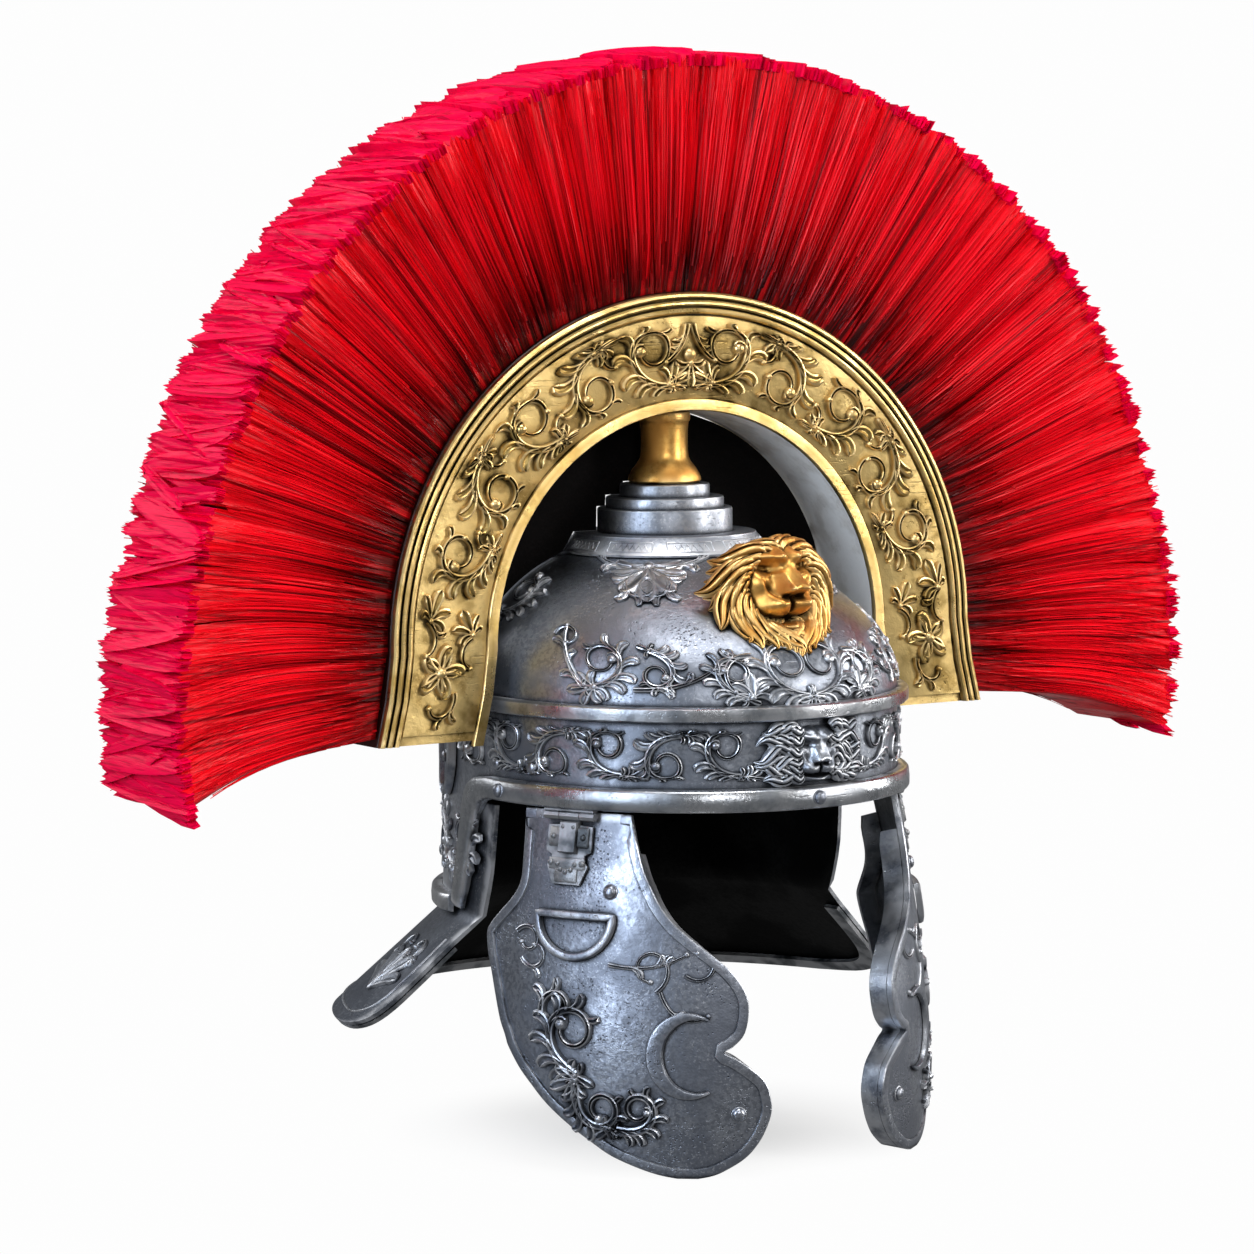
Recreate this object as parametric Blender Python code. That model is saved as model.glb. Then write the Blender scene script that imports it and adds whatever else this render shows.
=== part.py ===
"""Roman helmet with a transverse crest, as an assembly of separate metal, wood and hair pieces.

Metres, +Z up. The wearer faces -Y and the wearer's left is +X. The origin is the middle of the
head opening, on the crest post's axis, level with the lower edge of the brow ring.
"""

from math import acos, cos, degrees, hypot, pi, radians, sin, sqrt

import bmesh
import bpy
from mathutils import Vector

# Clearances
GAP = 0.0003
NECK_CLEARANCE = 0.0006
EDGING_CLEARANCE = 0.0007

# Bowl
BOWL_HALF_WIDTH = 0.104
BOWL_FRONT = 0.119
BOWL_BACK = 0.134
BOWL_CENTRE_Y = -0.0078
BOWL_WALL = 0.002
BAND_HEIGHT = 0.050
DOME_RISE = 0.073
CROWN_RADIUS = 0.050
NAPE_DROP = 0.058
NAPE_FLARE = 0.003

# Rings and ledge
RING_PROUD = 0.0055
BROW_RING_HEIGHT = 0.0107
UPPER_RING_HEIGHT = 0.0076
NAPE_EDGE_PROUD = 0.0036
RING_CORNER = 0.22
LEDGE_HEIGHT = 0.009
LEDGE_PROUD = 0.0055

# Neck guard
NECK_WALL = 0.002
NECK_REACH = 0.056
NECK_FALL = 0.051
NECK_START = 0.0055
NECK_EDGE_DEPTH = 0.002

# Crown boss and post
STEP_RADII = (0.0222, 0.0291, 0.0333, 0.0451)
STEP_HEIGHTS = (0.0063, 0.0054, 0.0118)
CROWN_TOP = 0.1475
POST_FOOT_RADIUS = 0.0180
POST_NECK_RADIUS = 0.0115
POST_HEAD_RADIUS = 0.0128

# Crest arch
ARCH_CENTRE_Z = 0.0735
ARCH_CLEARANCE = 0.0008
ARCH_INNER = BOWL_HALF_WIDTH + RING_PROUD + ARCH_CLEARANCE
STRIP_WIDTH = 0.0059
FIELD_WIDTH = 0.0410
MOULDING_WIDTH = 0.0109
ARCH_LEG = 0.0430
STRIP_LEG = 0.0455
FIELD_LEG = 0.0385
LEG_FLARE = 0.0080
BOX_HALF_DEPTH = 0.0205
PLATE_THICKNESS = 0.0015
MOULDING_PROUD = 0.0032
BOARD_THICKNESS = 0.011
PANEL_THICKNESS = 0.0015

# Plume
PLUME_RADIUS = 0.280
PLUME_END_RADIUS = 0.292
PLUME_SPREAD = 102.6
PLUME_ROOT_HALF = 0.0195
PLUME_TIP_HALF = 0.0385
PLUME_SECTORS = 9
LOCKS_PER_SECTOR = 4
LOCK_GROOVE = 0.0035
TIP_RAGGED = 0.0030

# Cheek guards
CHEEK_SETBACK = 0.0008
CHEEK_HALF_WIDTH = BOWL_HALF_WIDTH
CHEEK_FRONT = BOWL_FRONT - BOWL_CENTRE_Y - CHEEK_SETBACK
CHEEK_BULGE = 0.016
CHEEK_BULGE_SPAN = 0.250
CHEEK_TOP = -0.002
CHEEK_LENGTH = 0.1705
CHEEK_WALL = 0.002
EDGING_DEPTH = 0.0095
EDGING_THICKNESS = 0.002

# Hinges
HINGE_TURN = 61.5
HINGE_OUT = 0.0026
HINGE_Z = -0.0036
KNUCKLE_RADIUS = 0.0021
PIN_RADIUS = 0.0009
HINGE_LENGTH = 0.028
MIDDLE_KNUCKLE = 0.011
LEAF_THICKNESS = 0.0015
LEAF_LENGTH = 0.031
LEAF_HALF_WIDTH = 0.0122
STRAP_HALF_WIDTH = 0.0019

# Ornament and fastenings
LOOP_WIRE = 0.0016
CRESCENT_THICKNESS = 0.0024
RIVET_RADIUS = 0.0033
LION_RELIEF = 0.019
MASK_RELIEF = 0.009
LUG_THICKNESS = 0.0045

CROWN_CLIMB = degrees(acos(CROWN_RADIUS / BOWL_HALF_WIDTH))
COLUMN_STEP = 7.5
EAR_COLUMNS = (94, 97.5, 99.5, 101.5, 104.5)
ARCH_STEP = 10
KNEE = 0.5
KNEE_FLARE = 0.36


def material(name, colour, roughness, metallic):
    made = bpy.data.materials.new(name)
    made.use_nodes = True
    shader = made.node_tree.nodes["Principled BSDF"]
    shader.inputs["Base Color"].default_value = (*colour, 1)
    shader.inputs["Roughness"].default_value = roughness
    shader.inputs["Metallic"].default_value = metallic
    made.diffuse_color = (*colour, 1)
    return made


def smooth(share):
    share = min(1.0, max(0.0, share))
    return share * share * (3 - 2 * share)


def between(table, share):
    """Read a table of (share, value) rows at a share, in straight runs."""
    for (start, low), (end, high) in zip(table, table[1:]):
        if share <= end:
            return low + (high - low) * (share - start) / (end - start)
    return table[-1][1]


def node(name, mesh_data, finish, sharp=35):
    """Make the object of a closed bmesh, with its faces pointing out."""
    bmesh.ops.remove_doubles(mesh_data, verts=mesh_data.verts, dist=1e-6)
    bmesh.ops.recalc_face_normals(mesh_data, faces=mesh_data.faces)
    mesh = bpy.data.meshes.new(name)
    mesh_data.to_mesh(mesh)
    mesh_data.free()
    mesh.materials.append(finish)
    mesh.shade_smooth()
    mesh.set_sharp_from_angle(angle=radians(sharp))
    made = bpy.data.objects.new(name, mesh)
    bpy.context.collection.objects.link(made)
    return made


def mirrored(source, name):
    """The same piece for the wearer's left side."""
    mesh_data = bmesh.new()
    mesh_data.from_mesh(source.data)
    for vert in mesh_data.verts:
        vert.co.x = -vert.co.x
    bmesh.ops.reverse_faces(mesh_data, faces=mesh_data.faces)
    return node(name, mesh_data, source.data.materials[0])


def swept(name, sections, finish, closed=False, sharp=35):
    """Skin a row of matching sections, capped at both ends unless it closes on itself."""
    mesh_data = bmesh.new()
    rings = [[mesh_data.verts.new(point) for point in section] for section in sections]
    pairs = list(zip(rings, rings[1:]))
    if closed:
        pairs.append((rings[-1], rings[0]))
    for first, second in pairs:
        for index, start in enumerate(first):
            after = (index + 1) % len(first)
            mesh_data.faces.new((start, first[after], second[after], second[index]))
    if not closed:
        mesh_data.faces.new(rings[0])
        mesh_data.faces.new(reversed(rings[-1]))
    return node(name, mesh_data, finish, sharp)


def slab(name, front, back, finish, sharp=35):
    """Close two matching grids of points, row by row, into one solid."""
    mesh_data = bmesh.new()
    top = [[mesh_data.verts.new(point) for point in row] for row in front]
    base = [[mesh_data.verts.new(point) for point in row] for row in back]
    for grid in (top, base):
        for first, second in zip(grid, grid[1:]):
            for column in range(len(first) - 1):
                mesh_data.faces.new(
                    (first[column], first[column + 1], second[column + 1], second[column]))
    def border(grid):
        sides = grid[0] + [row[-1] for row in grid[1:-1]]
        return sides + grid[-1][::-1] + [row[0] for row in grid[-2:0:-1]]
    outer, inner = border(top), border(base)
    for index, start in enumerate(outer):
        after = (index + 1) % len(outer)
        mesh_data.faces.new((start, outer[after], inner[after], inner[index]))
    return node(name, mesh_data, finish, sharp)


def turned(name, profile, finish, centre=(0, 0, 0), axis=(0, 0, 1), steps=32, sharp=35):
    """Spin a profile of (radius, height) points, from axis to axis, about an axis."""
    axis = Vector(axis).normalized()
    side = axis.orthogonal().normalized()
    centre = Vector(centre)
    mesh_data = bmesh.new()
    points = [mesh_data.verts.new(centre + side * radius + axis * height)
              for radius, height in profile]
    edges = [mesh_data.edges.new(pair) for pair in zip(points, points[1:])]
    bmesh.ops.spin(mesh_data, geom=points + edges, cent=centre, axis=axis,
                   angle=2 * pi, steps=steps, use_merge=True)
    return node(name, mesh_data, finish, sharp)


def plan_point(angle, out=0.0, share=1.0, roundness=0.0):
    """A point of the bowl's plan, by its angle from the brow towards the wearer's left."""
    turn = radians(angle)
    half_width = BOWL_HALF_WIDTH * share + out
    depth = (BOWL_FRONT if cos(turn) > 0 else BOWL_BACK) * share + out
    depth += (half_width - depth) * roundness
    centre = BOWL_CENTRE_Y * (1 - roundness)
    return Vector((half_width * sin(turn), centre - depth * cos(turn), 0))


def wall_point(angle, height, out=0.0):
    """A point on the upright wall of the band and the nape, which flares a little downwards."""
    flare = (BROW_RING_HEIGHT - height) / (BROW_RING_HEIGHT + NAPE_DROP)
    point = plan_point(angle, out + NAPE_FLARE * min(1.0, max(0.0, flare)))
    point.z = height
    return point


def dome_point(angle, climb, out=0.0):
    """A point on the dome, by how many degrees it has climbed from the band to the crown."""
    rise = radians(climb)
    point = plan_point(angle, out * cos(rise), cos(rise), smooth(climb / CROWN_CLIMB))
    point.z = BAND_HEIGHT + (DOME_RISE + out) * sin(rise)
    return point


def leg_flare(drop):
    """How far a leg leans out, a certain drop below the arch's centre."""
    knee = ARCH_LEG * KNEE
    if drop <= knee:
        return LEG_FLARE * KNEE_FLARE * drop / knee
    return LEG_FLARE * (KNEE_FLARE + (1 - KNEE_FLARE) * (drop - knee) / (ARCH_LEG - knee))


def arch_point(side, turn, drop, radius, y):
    """A point at a radius of the arch: a turn from the top, or a drop down one of the legs."""
    if drop:
        return Vector((side * (radius + leg_flare(drop)), y, ARCH_CENTRE_Z - drop))
    return Vector((radius * sin(radians(turn)), y, ARCH_CENTRE_Z + radius * cos(radians(turn))))


def arch_sweep(name, profile, leg, finish, sharp=35):
    """Sweep a profile of (radius, y) points along the arch and down both legs."""
    knee = ARCH_LEG * KNEE
    stations = [(-1, 0, leg), (-1, 0, knee)]
    stations += [(0, index * ARCH_STEP - 90, 0) for index in range(int(180 / ARCH_STEP) + 1)]
    stations += [(1, 0, knee), (1, 0, leg)]
    sections = [[arch_point(*station, radius, y) for radius, y in profile] for station in stations]
    return swept(name, sections, finish, sharp=sharp)


def cheek_point(turn, height, out=0.0):
    """A point on the right cheek guard's outer face, by its angle from the brow."""
    angle = radians(turn)
    x, y = -CHEEK_HALF_WIDTH * sin(angle), -CHEEK_FRONT * cos(angle)
    normal = Vector((x / CHEEK_HALF_WIDTH ** 2, y / CHEEK_FRONT ** 2, 0)).normalized()
    swell = CHEEK_BULGE * sin(pi * min(1.0, max(0.0, -height / CHEEK_BULGE_SPAN)))
    return Vector((x, y, height)) + normal * (swell + out)


def cheek_normal(turn, height):
    """The true outward direction of the cheek guard's face."""
    across = cheek_point(turn + 0.5, height) - cheek_point(turn - 0.5, height)
    down = cheek_point(turn, height - 0.001) - cheek_point(turn, height + 0.001)
    return across.cross(down).normalized()


def on_cheek(turn, height, out):
    return cheek_point(turn, height) + cheek_normal(turn, height) * out


def head_on_wall(name, foot, normal, finish, radius=RIVET_RADIUS):
    """A domed rivet head whose flat seat stands the clearance off its wall."""
    profile = [(0, 0)] + [(radius * cos(radians(rise)), 0.72 * radius * sin(radians(rise)))
                          for rise in (0, 42)] + [(0, 0.72 * radius)]
    return turned(name, profile, finish, centre=foot + normal * GAP * 1.8, axis=normal,
                  steps=8, sharp=60)


def outward(make, first, second, *rest):
    """The normal of a surface whose maker takes an angle and a height or climb."""
    across = make(first + 1, second, *rest) - make(first - 1, second, *rest)
    step = 0.001 if make is wall_point else 1
    up = make(first, second + step, *rest) - make(first, second - step, *rest)
    return across.cross(up).normalized()


for old in list(bpy.data.objects):
    bpy.data.objects.remove(old, do_unlink=True)

steel = material("burnished steel", (0.42, 0.45, 0.50), 0.36, 1.0)
dark_steel = material("dark steel", (0.16, 0.17, 0.19), 0.45, 1.0)
brass = material("antique brass", (0.72, 0.50, 0.20), 0.32, 1.0)
gold = material("warm gold", (0.85, 0.50, 0.16), 0.30, 1.0)
wood = material("dark wood", (0.10, 0.02, 0.015), 0.5, 0.0)
hair = material("red hair", (0.62, 0.01, 0.02), 0.45, 0.0)
leather = material("blackened leather", (0.01, 0.01, 0.01), 0.8, 0.0)

# Bowl: one sheet of iron from the crown to the brow and, behind the ears, down the nape.
# The rim's lower edge as (angle from the brow, share of the nape's drop)
LIP = ((0, 0.0), (90, 0.0), (94, 0.04), (97.5, 0.18), (99.5, 0.50), (101.5, 0.78), (104.5, 1.0),
       (180, 1.0))


def full_circle():
    front = [COLUMN_STEP * index for index in range(13)]
    back = [COLUMN_STEP * index for index in range(15, 25)]
    half = front + list(EAR_COLUMNS) + back
    return [-angle for angle in half[:0:-1]] + half[:-1]


def lip_height(angle):
    return -NAPE_DROP * between(LIP, abs(angle))


def bowl_rows(out):
    """Rows of the bowl's wall, from the lip up to the ring below the crown's pole."""
    columns = full_circle()
    rows = [[wall_point(angle, lip_height(angle), out) for angle in columns],
            [wall_point(angle, BROW_RING_HEIGHT, out) for angle in columns]]
    for share in (0, 0.26, 0.52, 0.77, 1.0, 1.24):
        rows.append([dome_point(angle, CROWN_CLIMB * share, out) for angle in columns])
    return rows


def make_bowl():
    mesh_data = bmesh.new()
    skins = []
    for out in (0.0, -BOWL_WALL):
        rows = [[mesh_data.verts.new(point) for point in row] for row in bowl_rows(out)]
        for first, second in zip(rows, rows[1:]):
            for index in range(len(first)):
                after = (index + 1) % len(first)
                mesh_data.faces.new((first[index], first[after], second[after], second[index]))
        pole = mesh_data.verts.new((0, 0, BAND_HEIGHT + DOME_RISE + out))
        for index in range(len(rows[-1])):
            mesh_data.faces.new((rows[-1][index], rows[-1][(index + 1) % len(rows[-1])], pole))
        skins.append(rows[0])
    outer, inner = skins
    for index in range(len(outer)):
        after = (index + 1) % len(outer)
        mesh_data.faces.new((outer[index], outer[after], inner[after], inner[index]))
    return node("skull_bowl", mesh_data, steel)


make_bowl()


def ring_section(low, high, proud):
    """A flat band's section on the wall, between two (angle, height) places."""
    def place(share, out):
        return wall_point(low[0] + (high[0] - low[0]) * share,
                          low[1] + (high[1] - low[1]) * share, out)

    corner = proud * RING_CORNER
    tilt = min(0.25, corner / max(corner, high[1] - low[1]))
    return [place(0, GAP), place(0, proud - corner), place(tilt, proud),
            place(1 - tilt, proud), place(1, proud - corner), place(1, GAP)]


# Upper ring: a hoop round the foot of the dome.
swept("upper_ring",
      [ring_section((angle, BAND_HEIGHT - UPPER_RING_HEIGHT), (angle, BAND_HEIGHT - GAP), RING_PROUD)
       for angle in full_circle()], steel, closed=True)

# Brow ring: over the brow it is a broad band, and behind each ear it turns down the nape's edge.
# Below the ear, each row is (low angle, high angle, low share and high share of the nape's drop).
NAPE_EDGE = ((92.5, 94.0, 0.02, -0.165), (95.5, 98.0, 0.08, -0.135), (97.2, 101.5, 0.20, -0.03),
             (98.8, 103.2, 0.44, 0.22), (100.6, 105.0, 0.72, 0.55), (103.0, 106.9, 0.97, 0.93))


def make_brow_ring():
    def turned_down(row, side):
        low = (side * row[0], -NAPE_DROP * row[2])
        high = (side * row[1], -NAPE_DROP * row[3])
        return low, high

    front = [((angle, 0.0), (angle, BROW_RING_HEIGHT)) for angle in full_circle() if abs(angle) <= 90]
    right = [turned_down(row, -1) for row in NAPE_EDGE[::-1]]
    left = [turned_down(row, 1) for row in NAPE_EDGE]
    sections = []
    for low, high in right + front + left:
        past_ear = smooth((abs(low[0]) - 84) / 14)
        proud = RING_PROUD + (NAPE_EDGE_PROUD - RING_PROUD) * past_ear
        sections.append(ring_section(low, high, proud))
    return swept("brow_ring", sections, steel)


make_brow_ring()

# Neck ledge: a thick step round the foot of the nape wall.
ledge_angles = [109] + [COLUMN_STEP * index for index in range(15, 34)] + [251]
swept("neck_ledge",
      [ring_section((angle, -NAPE_DROP - LEDGE_HEIGHT / 3),
                    (angle, -NAPE_DROP + LEDGE_HEIGHT * 2 / 3), LEDGE_PROUD)
       for angle in ledge_angles], steel)

# Neck guard: a plate inside the nape wall that bends out below it and falls to a level edge.
# Upright rows are (share of the nape's drop, angle of the end)
NECK_UPRIGHT = ((0.07, 91.0), (0.65, 92.6), (1.02, 95.5))
# Flared rows are (share of the reach, angle of the end)
NECK_FLARED = ((0.0, 98.0), (0.18, 99.0), (0.53, 100.0), (0.75, 101.0), (0.89, 103.5),
               (0.97, 108.5), (1.0, 116.0))
NECK_COLUMNS = 20


def neck_flare_point(angle, share, depth=0.0):
    """A point on the flared part's upper face, or that far below it."""
    out = NECK_REACH * share
    slope = Vector((NECK_REACH, -NECK_FALL)).normalized()
    height = -NAPE_DROP - NECK_START - NECK_FALL * share
    return wall_point(angle, height - slope.x * depth, out + slope.y * depth)


def neck_columns(end):
    return [end + (360 - 2 * end) * index / NECK_COLUMNS for index in range(NECK_COLUMNS + 1)]


def make_neck_guard():
    inner = -BOWL_WALL - NECK_CLEARANCE
    front, back = [], []
    for share, end in NECK_UPRIGHT:
        front.append([wall_point(a, -NAPE_DROP * share, inner) for a in neck_columns(end)])
        back.append([wall_point(a, -NAPE_DROP * share, inner - NECK_WALL) for a in neck_columns(end)])
    for share, end in NECK_FLARED:
        front.append([neck_flare_point(a, share) for a in neck_columns(end)])
        back.append([neck_flare_point(a, share, NECK_WALL) for a in neck_columns(end)])
    return slab("neck_guard", front, back, steel)


make_neck_guard()

# Neck edging: the second layer of the doubled edge, below the neck guard.
# Rows are (angle and share of the reach on the edge, angle and share on the inner side)
NECK_EDGE = ((99.0, 0.18, 102.8, 0.18), (100.0, 0.53, 103.0, 0.52), (101.0, 0.75, 103.8, 0.70),
             (103.5, 0.89, 106.0, 0.82), (108.5, 0.97, 110.2, 0.88), (116.0, 1.0, 116.8, 0.91))


def make_neck_edging():
    rows = list(NECK_EDGE)
    rows += [(angle, 1.0, angle, 0.91) for angle in neck_columns(NECK_FLARED[-1][1])[1:-1]]
    rows += [(360 - edge, share, 360 - inner, inset) for edge, share, inner, inset in NECK_EDGE[::-1]]
    seat = NECK_WALL + EDGING_CLEARANCE
    depths = (seat, seat + NECK_EDGE_DEPTH)
    sections = [[neck_flare_point(edge, share, depths[0]), neck_flare_point(edge, share, depths[1]),
                 neck_flare_point(inner, inset, depths[1]), neck_flare_point(inner, inset, depths[0])]
                for edge, share, inner, inset in rows]
    return swept("neck_edging", sections, dark_steel)


make_neck_edging()

# Crown boss: a sloping skirt that seats on the dome, with three turned steps above it.
def make_crown_steps():
    top, second, third, skirt = STEP_RADII
    heights = [CROWN_TOP]
    for step in STEP_HEIGHTS:
        heights.append(heights[-1] - step)
    foot = CROWN_RADIUS + 0.0008
    seat = BAND_HEIGHT + (DOME_RISE + GAP) * sin(radians(CROWN_CLIMB))
    climb = [CROWN_CLIMB + (90 - CROWN_CLIMB) * share for share in (0, 0.24, 0.6)]
    under = [((BOWL_HALF_WIDTH + GAP) * cos(radians(c)) + 0.0002,
              BAND_HEIGHT + (DOME_RISE + GAP) * sin(radians(c)) + 0.0002) for c in climb]
    edge = 0.0008
    profile = [(0, heights[0]), (top - edge, heights[0]), (top, heights[0] - edge),
               (top, heights[1]), (second - edge * 2, heights[1]), (second, heights[1] - edge * 2),
               (second, heights[2]), (third - edge, heights[2]), (third, heights[2] - edge),
               (third, heights[3]), (skirt - edge, heights[3]), (skirt, heights[3] - edge),
               (foot, seat + 0.0012)]
    profile += under + [(0, BAND_HEIGHT + DOME_RISE + GAP)]
    return turned("crown_steps", profile, steel, steps=20)


make_crown_steps()

# Crest post: a turned gold waist between the crown boss and the arch.
def make_crest_post():
    foot = CROWN_TOP + GAP
    chord = cos(radians(ARCH_STEP / 2))
    head = ARCH_CENTRE_Z + sqrt(ARCH_INNER ** 2 - POST_HEAD_RADIUS ** 2) * chord - GAP
    tall = head - foot
    # The profile as (share of the height, radius)
    outline = ((0, POST_FOOT_RADIUS * 0.96), (0.03, POST_FOOT_RADIUS), (0.10, POST_FOOT_RADIUS * 0.97),
               (0.20, POST_FOOT_RADIUS * 0.86), (0.30, POST_NECK_RADIUS * 1.12),
               (0.36, POST_NECK_RADIUS * 1.02), (0.60, POST_NECK_RADIUS),
               (0.80, POST_NECK_RADIUS * 1.03), (0.86, POST_NECK_RADIUS * 1.05),
               (0.88, POST_HEAD_RADIUS), (1.0, POST_HEAD_RADIUS))
    profile = [(0, foot)] + [(radius, foot + tall * share) for share, radius in outline] + [(0, head)]
    return turned("crest_post", profile, gold, steps=16)


make_crest_post()

# Crest arch: a metal box between two faces, with a wooden board round it for the hair.
STRIP_OUTER = ARCH_INNER + STRIP_WIDTH
FIELD_OUTER = STRIP_OUTER + FIELD_WIDTH
ARCH_OUTER = FIELD_OUTER + MOULDING_WIDTH
BOARD_INNER = ARCH_OUTER - BOARD_THICKNESS

arch_sweep("crest_box",
           [(ARCH_INNER, -BOX_HALF_DEPTH), (BOARD_INNER - GAP, -BOX_HALF_DEPTH),
            (BOARD_INNER - GAP, BOX_HALF_DEPTH), (ARCH_INNER, BOX_HALF_DEPTH)], ARCH_LEG, steel)
arch_sweep("hair_board",
           [(BOARD_INNER, -BOX_HALF_DEPTH), (ARCH_OUTER, -BOX_HALF_DEPTH),
            (ARCH_OUTER, BOX_HALF_DEPTH), (BOARD_INNER, BOX_HALF_DEPTH)], ARCH_LEG, wood)

# The outer moulding's three beads as (share of its width, share of how far it stands proud)
BEADS = ((0.0, 0.7), (0.16, 1.0), (0.34, 0.6), (0.50, 0.95), (0.67, 0.6), (0.84, 0.9),
         (1.0, 0.5))


def face_profile(side, inner, width, proud_points):
    """A profile on the front or back of the box, from its seat to the given proud points."""
    seat = BOX_HALF_DEPTH + GAP
    points = [(inner, side * seat)]
    points += [(inner + width * share, side * (seat + proud)) for share, proud in proud_points]
    return points + [(inner + width, side * seat)]


for side, label in ((-1, "front"), (1, "back")):
    arch_sweep("crest_plate_" + label,
               face_profile(side, STRIP_OUTER + GAP, FIELD_WIDTH - 2 * GAP,
                            ((0, PLATE_THICKNESS), (1, PLATE_THICKNESS))), FIELD_LEG, brass)
    arch_sweep("outer_moulding_" + label,
               face_profile(side, FIELD_OUTER, MOULDING_WIDTH,
                            [(share, MOULDING_PROUD * proud) for share, proud in BEADS]),
               ARCH_LEG, brass, sharp=30)
    arch_sweep("inner_moulding_" + label,
               face_profile(side, ARCH_INNER, STRIP_WIDTH,
                            ((0.0, MOULDING_PROUD * 0.75), (1.0, MOULDING_PROUD * 0.75))),
               STRIP_LEG, brass)


# Back panel: a blackened leather sheet just inside the arch's rear edge, cut round the boss and bowl.
PANEL_DOME_SHARES = (0.14, 0.32, 0.48, 0.62, 0.74, 0.84, 0.92, 0.97, 1.0)


def dome_height(x, y):
    """How high the dome is over a place behind the crown's middle."""
    low, high = 0.0, 90.0
    for _ in range(24):
        climb = (low + high) / 2
        share = cos(radians(climb))
        roundness = smooth(climb / CROWN_CLIMB)
        depth = (BOWL_BACK + (BOWL_HALF_WIDTH - BOWL_BACK) * roundness) * share
        away = hypot(x / (BOWL_HALF_WIDTH * share), (y - BOWL_CENTRE_Y * (1 - roundness)) / depth)
        low, high = (climb, high) if away < 1 else (low, climb)
    return BAND_HEIGHT + DOME_RISE * sin(radians(low))


def make_back_panel():
    rear = BOX_HALF_DEPTH - GAP
    fore = rear - PANEL_THICKNESS
    reach = ARCH_INNER * cos(radians(ARCH_STEP / 2)) - GAP
    # The lower edge from the middle out, as (across, height)
    edge = [(0, CROWN_TOP + GAP)]
    height = CROWN_TOP
    for radius, fall in zip(STEP_RADII[:3], STEP_HEIGHTS):
        side = sqrt(radius ** 2 - fore ** 2) + GAP
        edge += [(side, height + GAP), (side + GAP, height - fall + GAP)]
        height -= fall
    foot = CROWN_RADIUS + GAP * 5
    side = sqrt(foot ** 2 - fore ** 2)
    edge += [(sqrt(STEP_RADII[3] ** 2 - fore ** 2) + GAP, height + GAP),
             (side, dome_height(side - GAP * 3, fore) + GAP * 5)]
    last = BOWL_HALF_WIDTH * sqrt(1 - ((fore - BOWL_CENTRE_Y) / BOWL_BACK) ** 2)
    for share in PANEL_DOME_SHARES:
        across = side + (last - side) * share
        edge.append((across, dome_height(across - GAP * 3, fore) + GAP * 2))
    edge.append((reach, BAND_HEIGHT + GAP))
    edge = [(-across, height) for across, height in edge[:0:-1]] + edge
    faces = []
    for y in (fore, rear):
        top = [(x, y, ARCH_CENTRE_Z + sqrt(max(0, reach ** 2 - x ** 2))) for x, z in edge]
        faces.append([top, [(x, y, z) for x, z in edge]])
    return slab("crest_back_panel", faces[0], faces[1], leather)


make_back_panel()

# Plume: nine sectors of hair, each four locks fused at their roots to one backing.
def plume_root(turn):
    """How far out the hair starts at a turn from the top, round the board and down its legs."""
    if abs(turn) <= 90:
        return ARCH_OUTER / cos(radians(ARCH_STEP / 2)) + GAP
    drop = ARCH_OUTER * sin(radians(abs(turn) - 90))
    return (ARCH_OUTER + LEG_FLARE * min(1.0, drop / ARCH_LEG) + GAP * 3) / sin(radians(abs(turn)))


def plume_point(turn, share, side, groove):
    """A point on a face of the hair, from its root to its tip."""
    start = plume_root(turn)
    lower = smooth((abs(turn) - 70) / (PLUME_SPREAD - 70))
    ragged = TIP_RAGGED * sin(turn * 2.9) * sin(turn * 1.13 + 1)
    end = PLUME_RADIUS + (PLUME_END_RADIUS - PLUME_RADIUS) * lower + ragged
    radius = start + (end - start) * share
    half = PLUME_ROOT_HALF + (PLUME_TIP_HALF - PLUME_ROOT_HALF) * share ** 0.8
    half -= LOCK_GROOVE * groove * share
    angle = radians(turn)
    return Vector((radius * sin(angle), side * half, ARCH_CENTRE_Z + radius * cos(angle)))


def make_plume_sector(number):
    span = 2 * PLUME_SPREAD / PLUME_SECTORS
    first = -PLUME_SPREAD + span * (number - 1)
    parting = degrees(GAP * 1.5 / ARCH_OUTER)
    start, end = first + parting / 2, first + span - parting / 2
    # Each lock's cross-section as (share of the lock, depth of the groove)
    lock = ((0.0, 1.0), (0.25, 0.1), (0.75, 0.0))
    stations = [((index + share) / LOCKS_PER_SECTOR, groove)
                for index in range(LOCKS_PER_SECTOR) for share, groove in lock] + [(1.0, 1.0)]
    shares = (0, 0.4, 1.0)
    faces = []
    for side in (-1, 1):
        faces.append([[plume_point(start + (end - start) * place, share, side, groove)
                       for place, groove in stations] for share in shares])
    return slab("plume_%d" % number, faces[0], faces[1], hair, sharp=20)


for number in range(1, PLUME_SECTORS + 1):
    make_plume_sector(number)

# Lion mask: a cast relief on the front of the dome.
# Rings of the relief as (share of the outline, share of the relief's height)
LION_RINGS = ((1.0, 0.10), (0.93, 0.34), (0.74, 0.46), (0.56, 0.44), (0.42, 0.66), (0.20, 0.85))
LION_HALF_TURN = 24.0
LION_LOW_CLIMB = 14.5
LION_HIGH_CLIMB = 57.0
LION_LOCKS = 12


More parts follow.
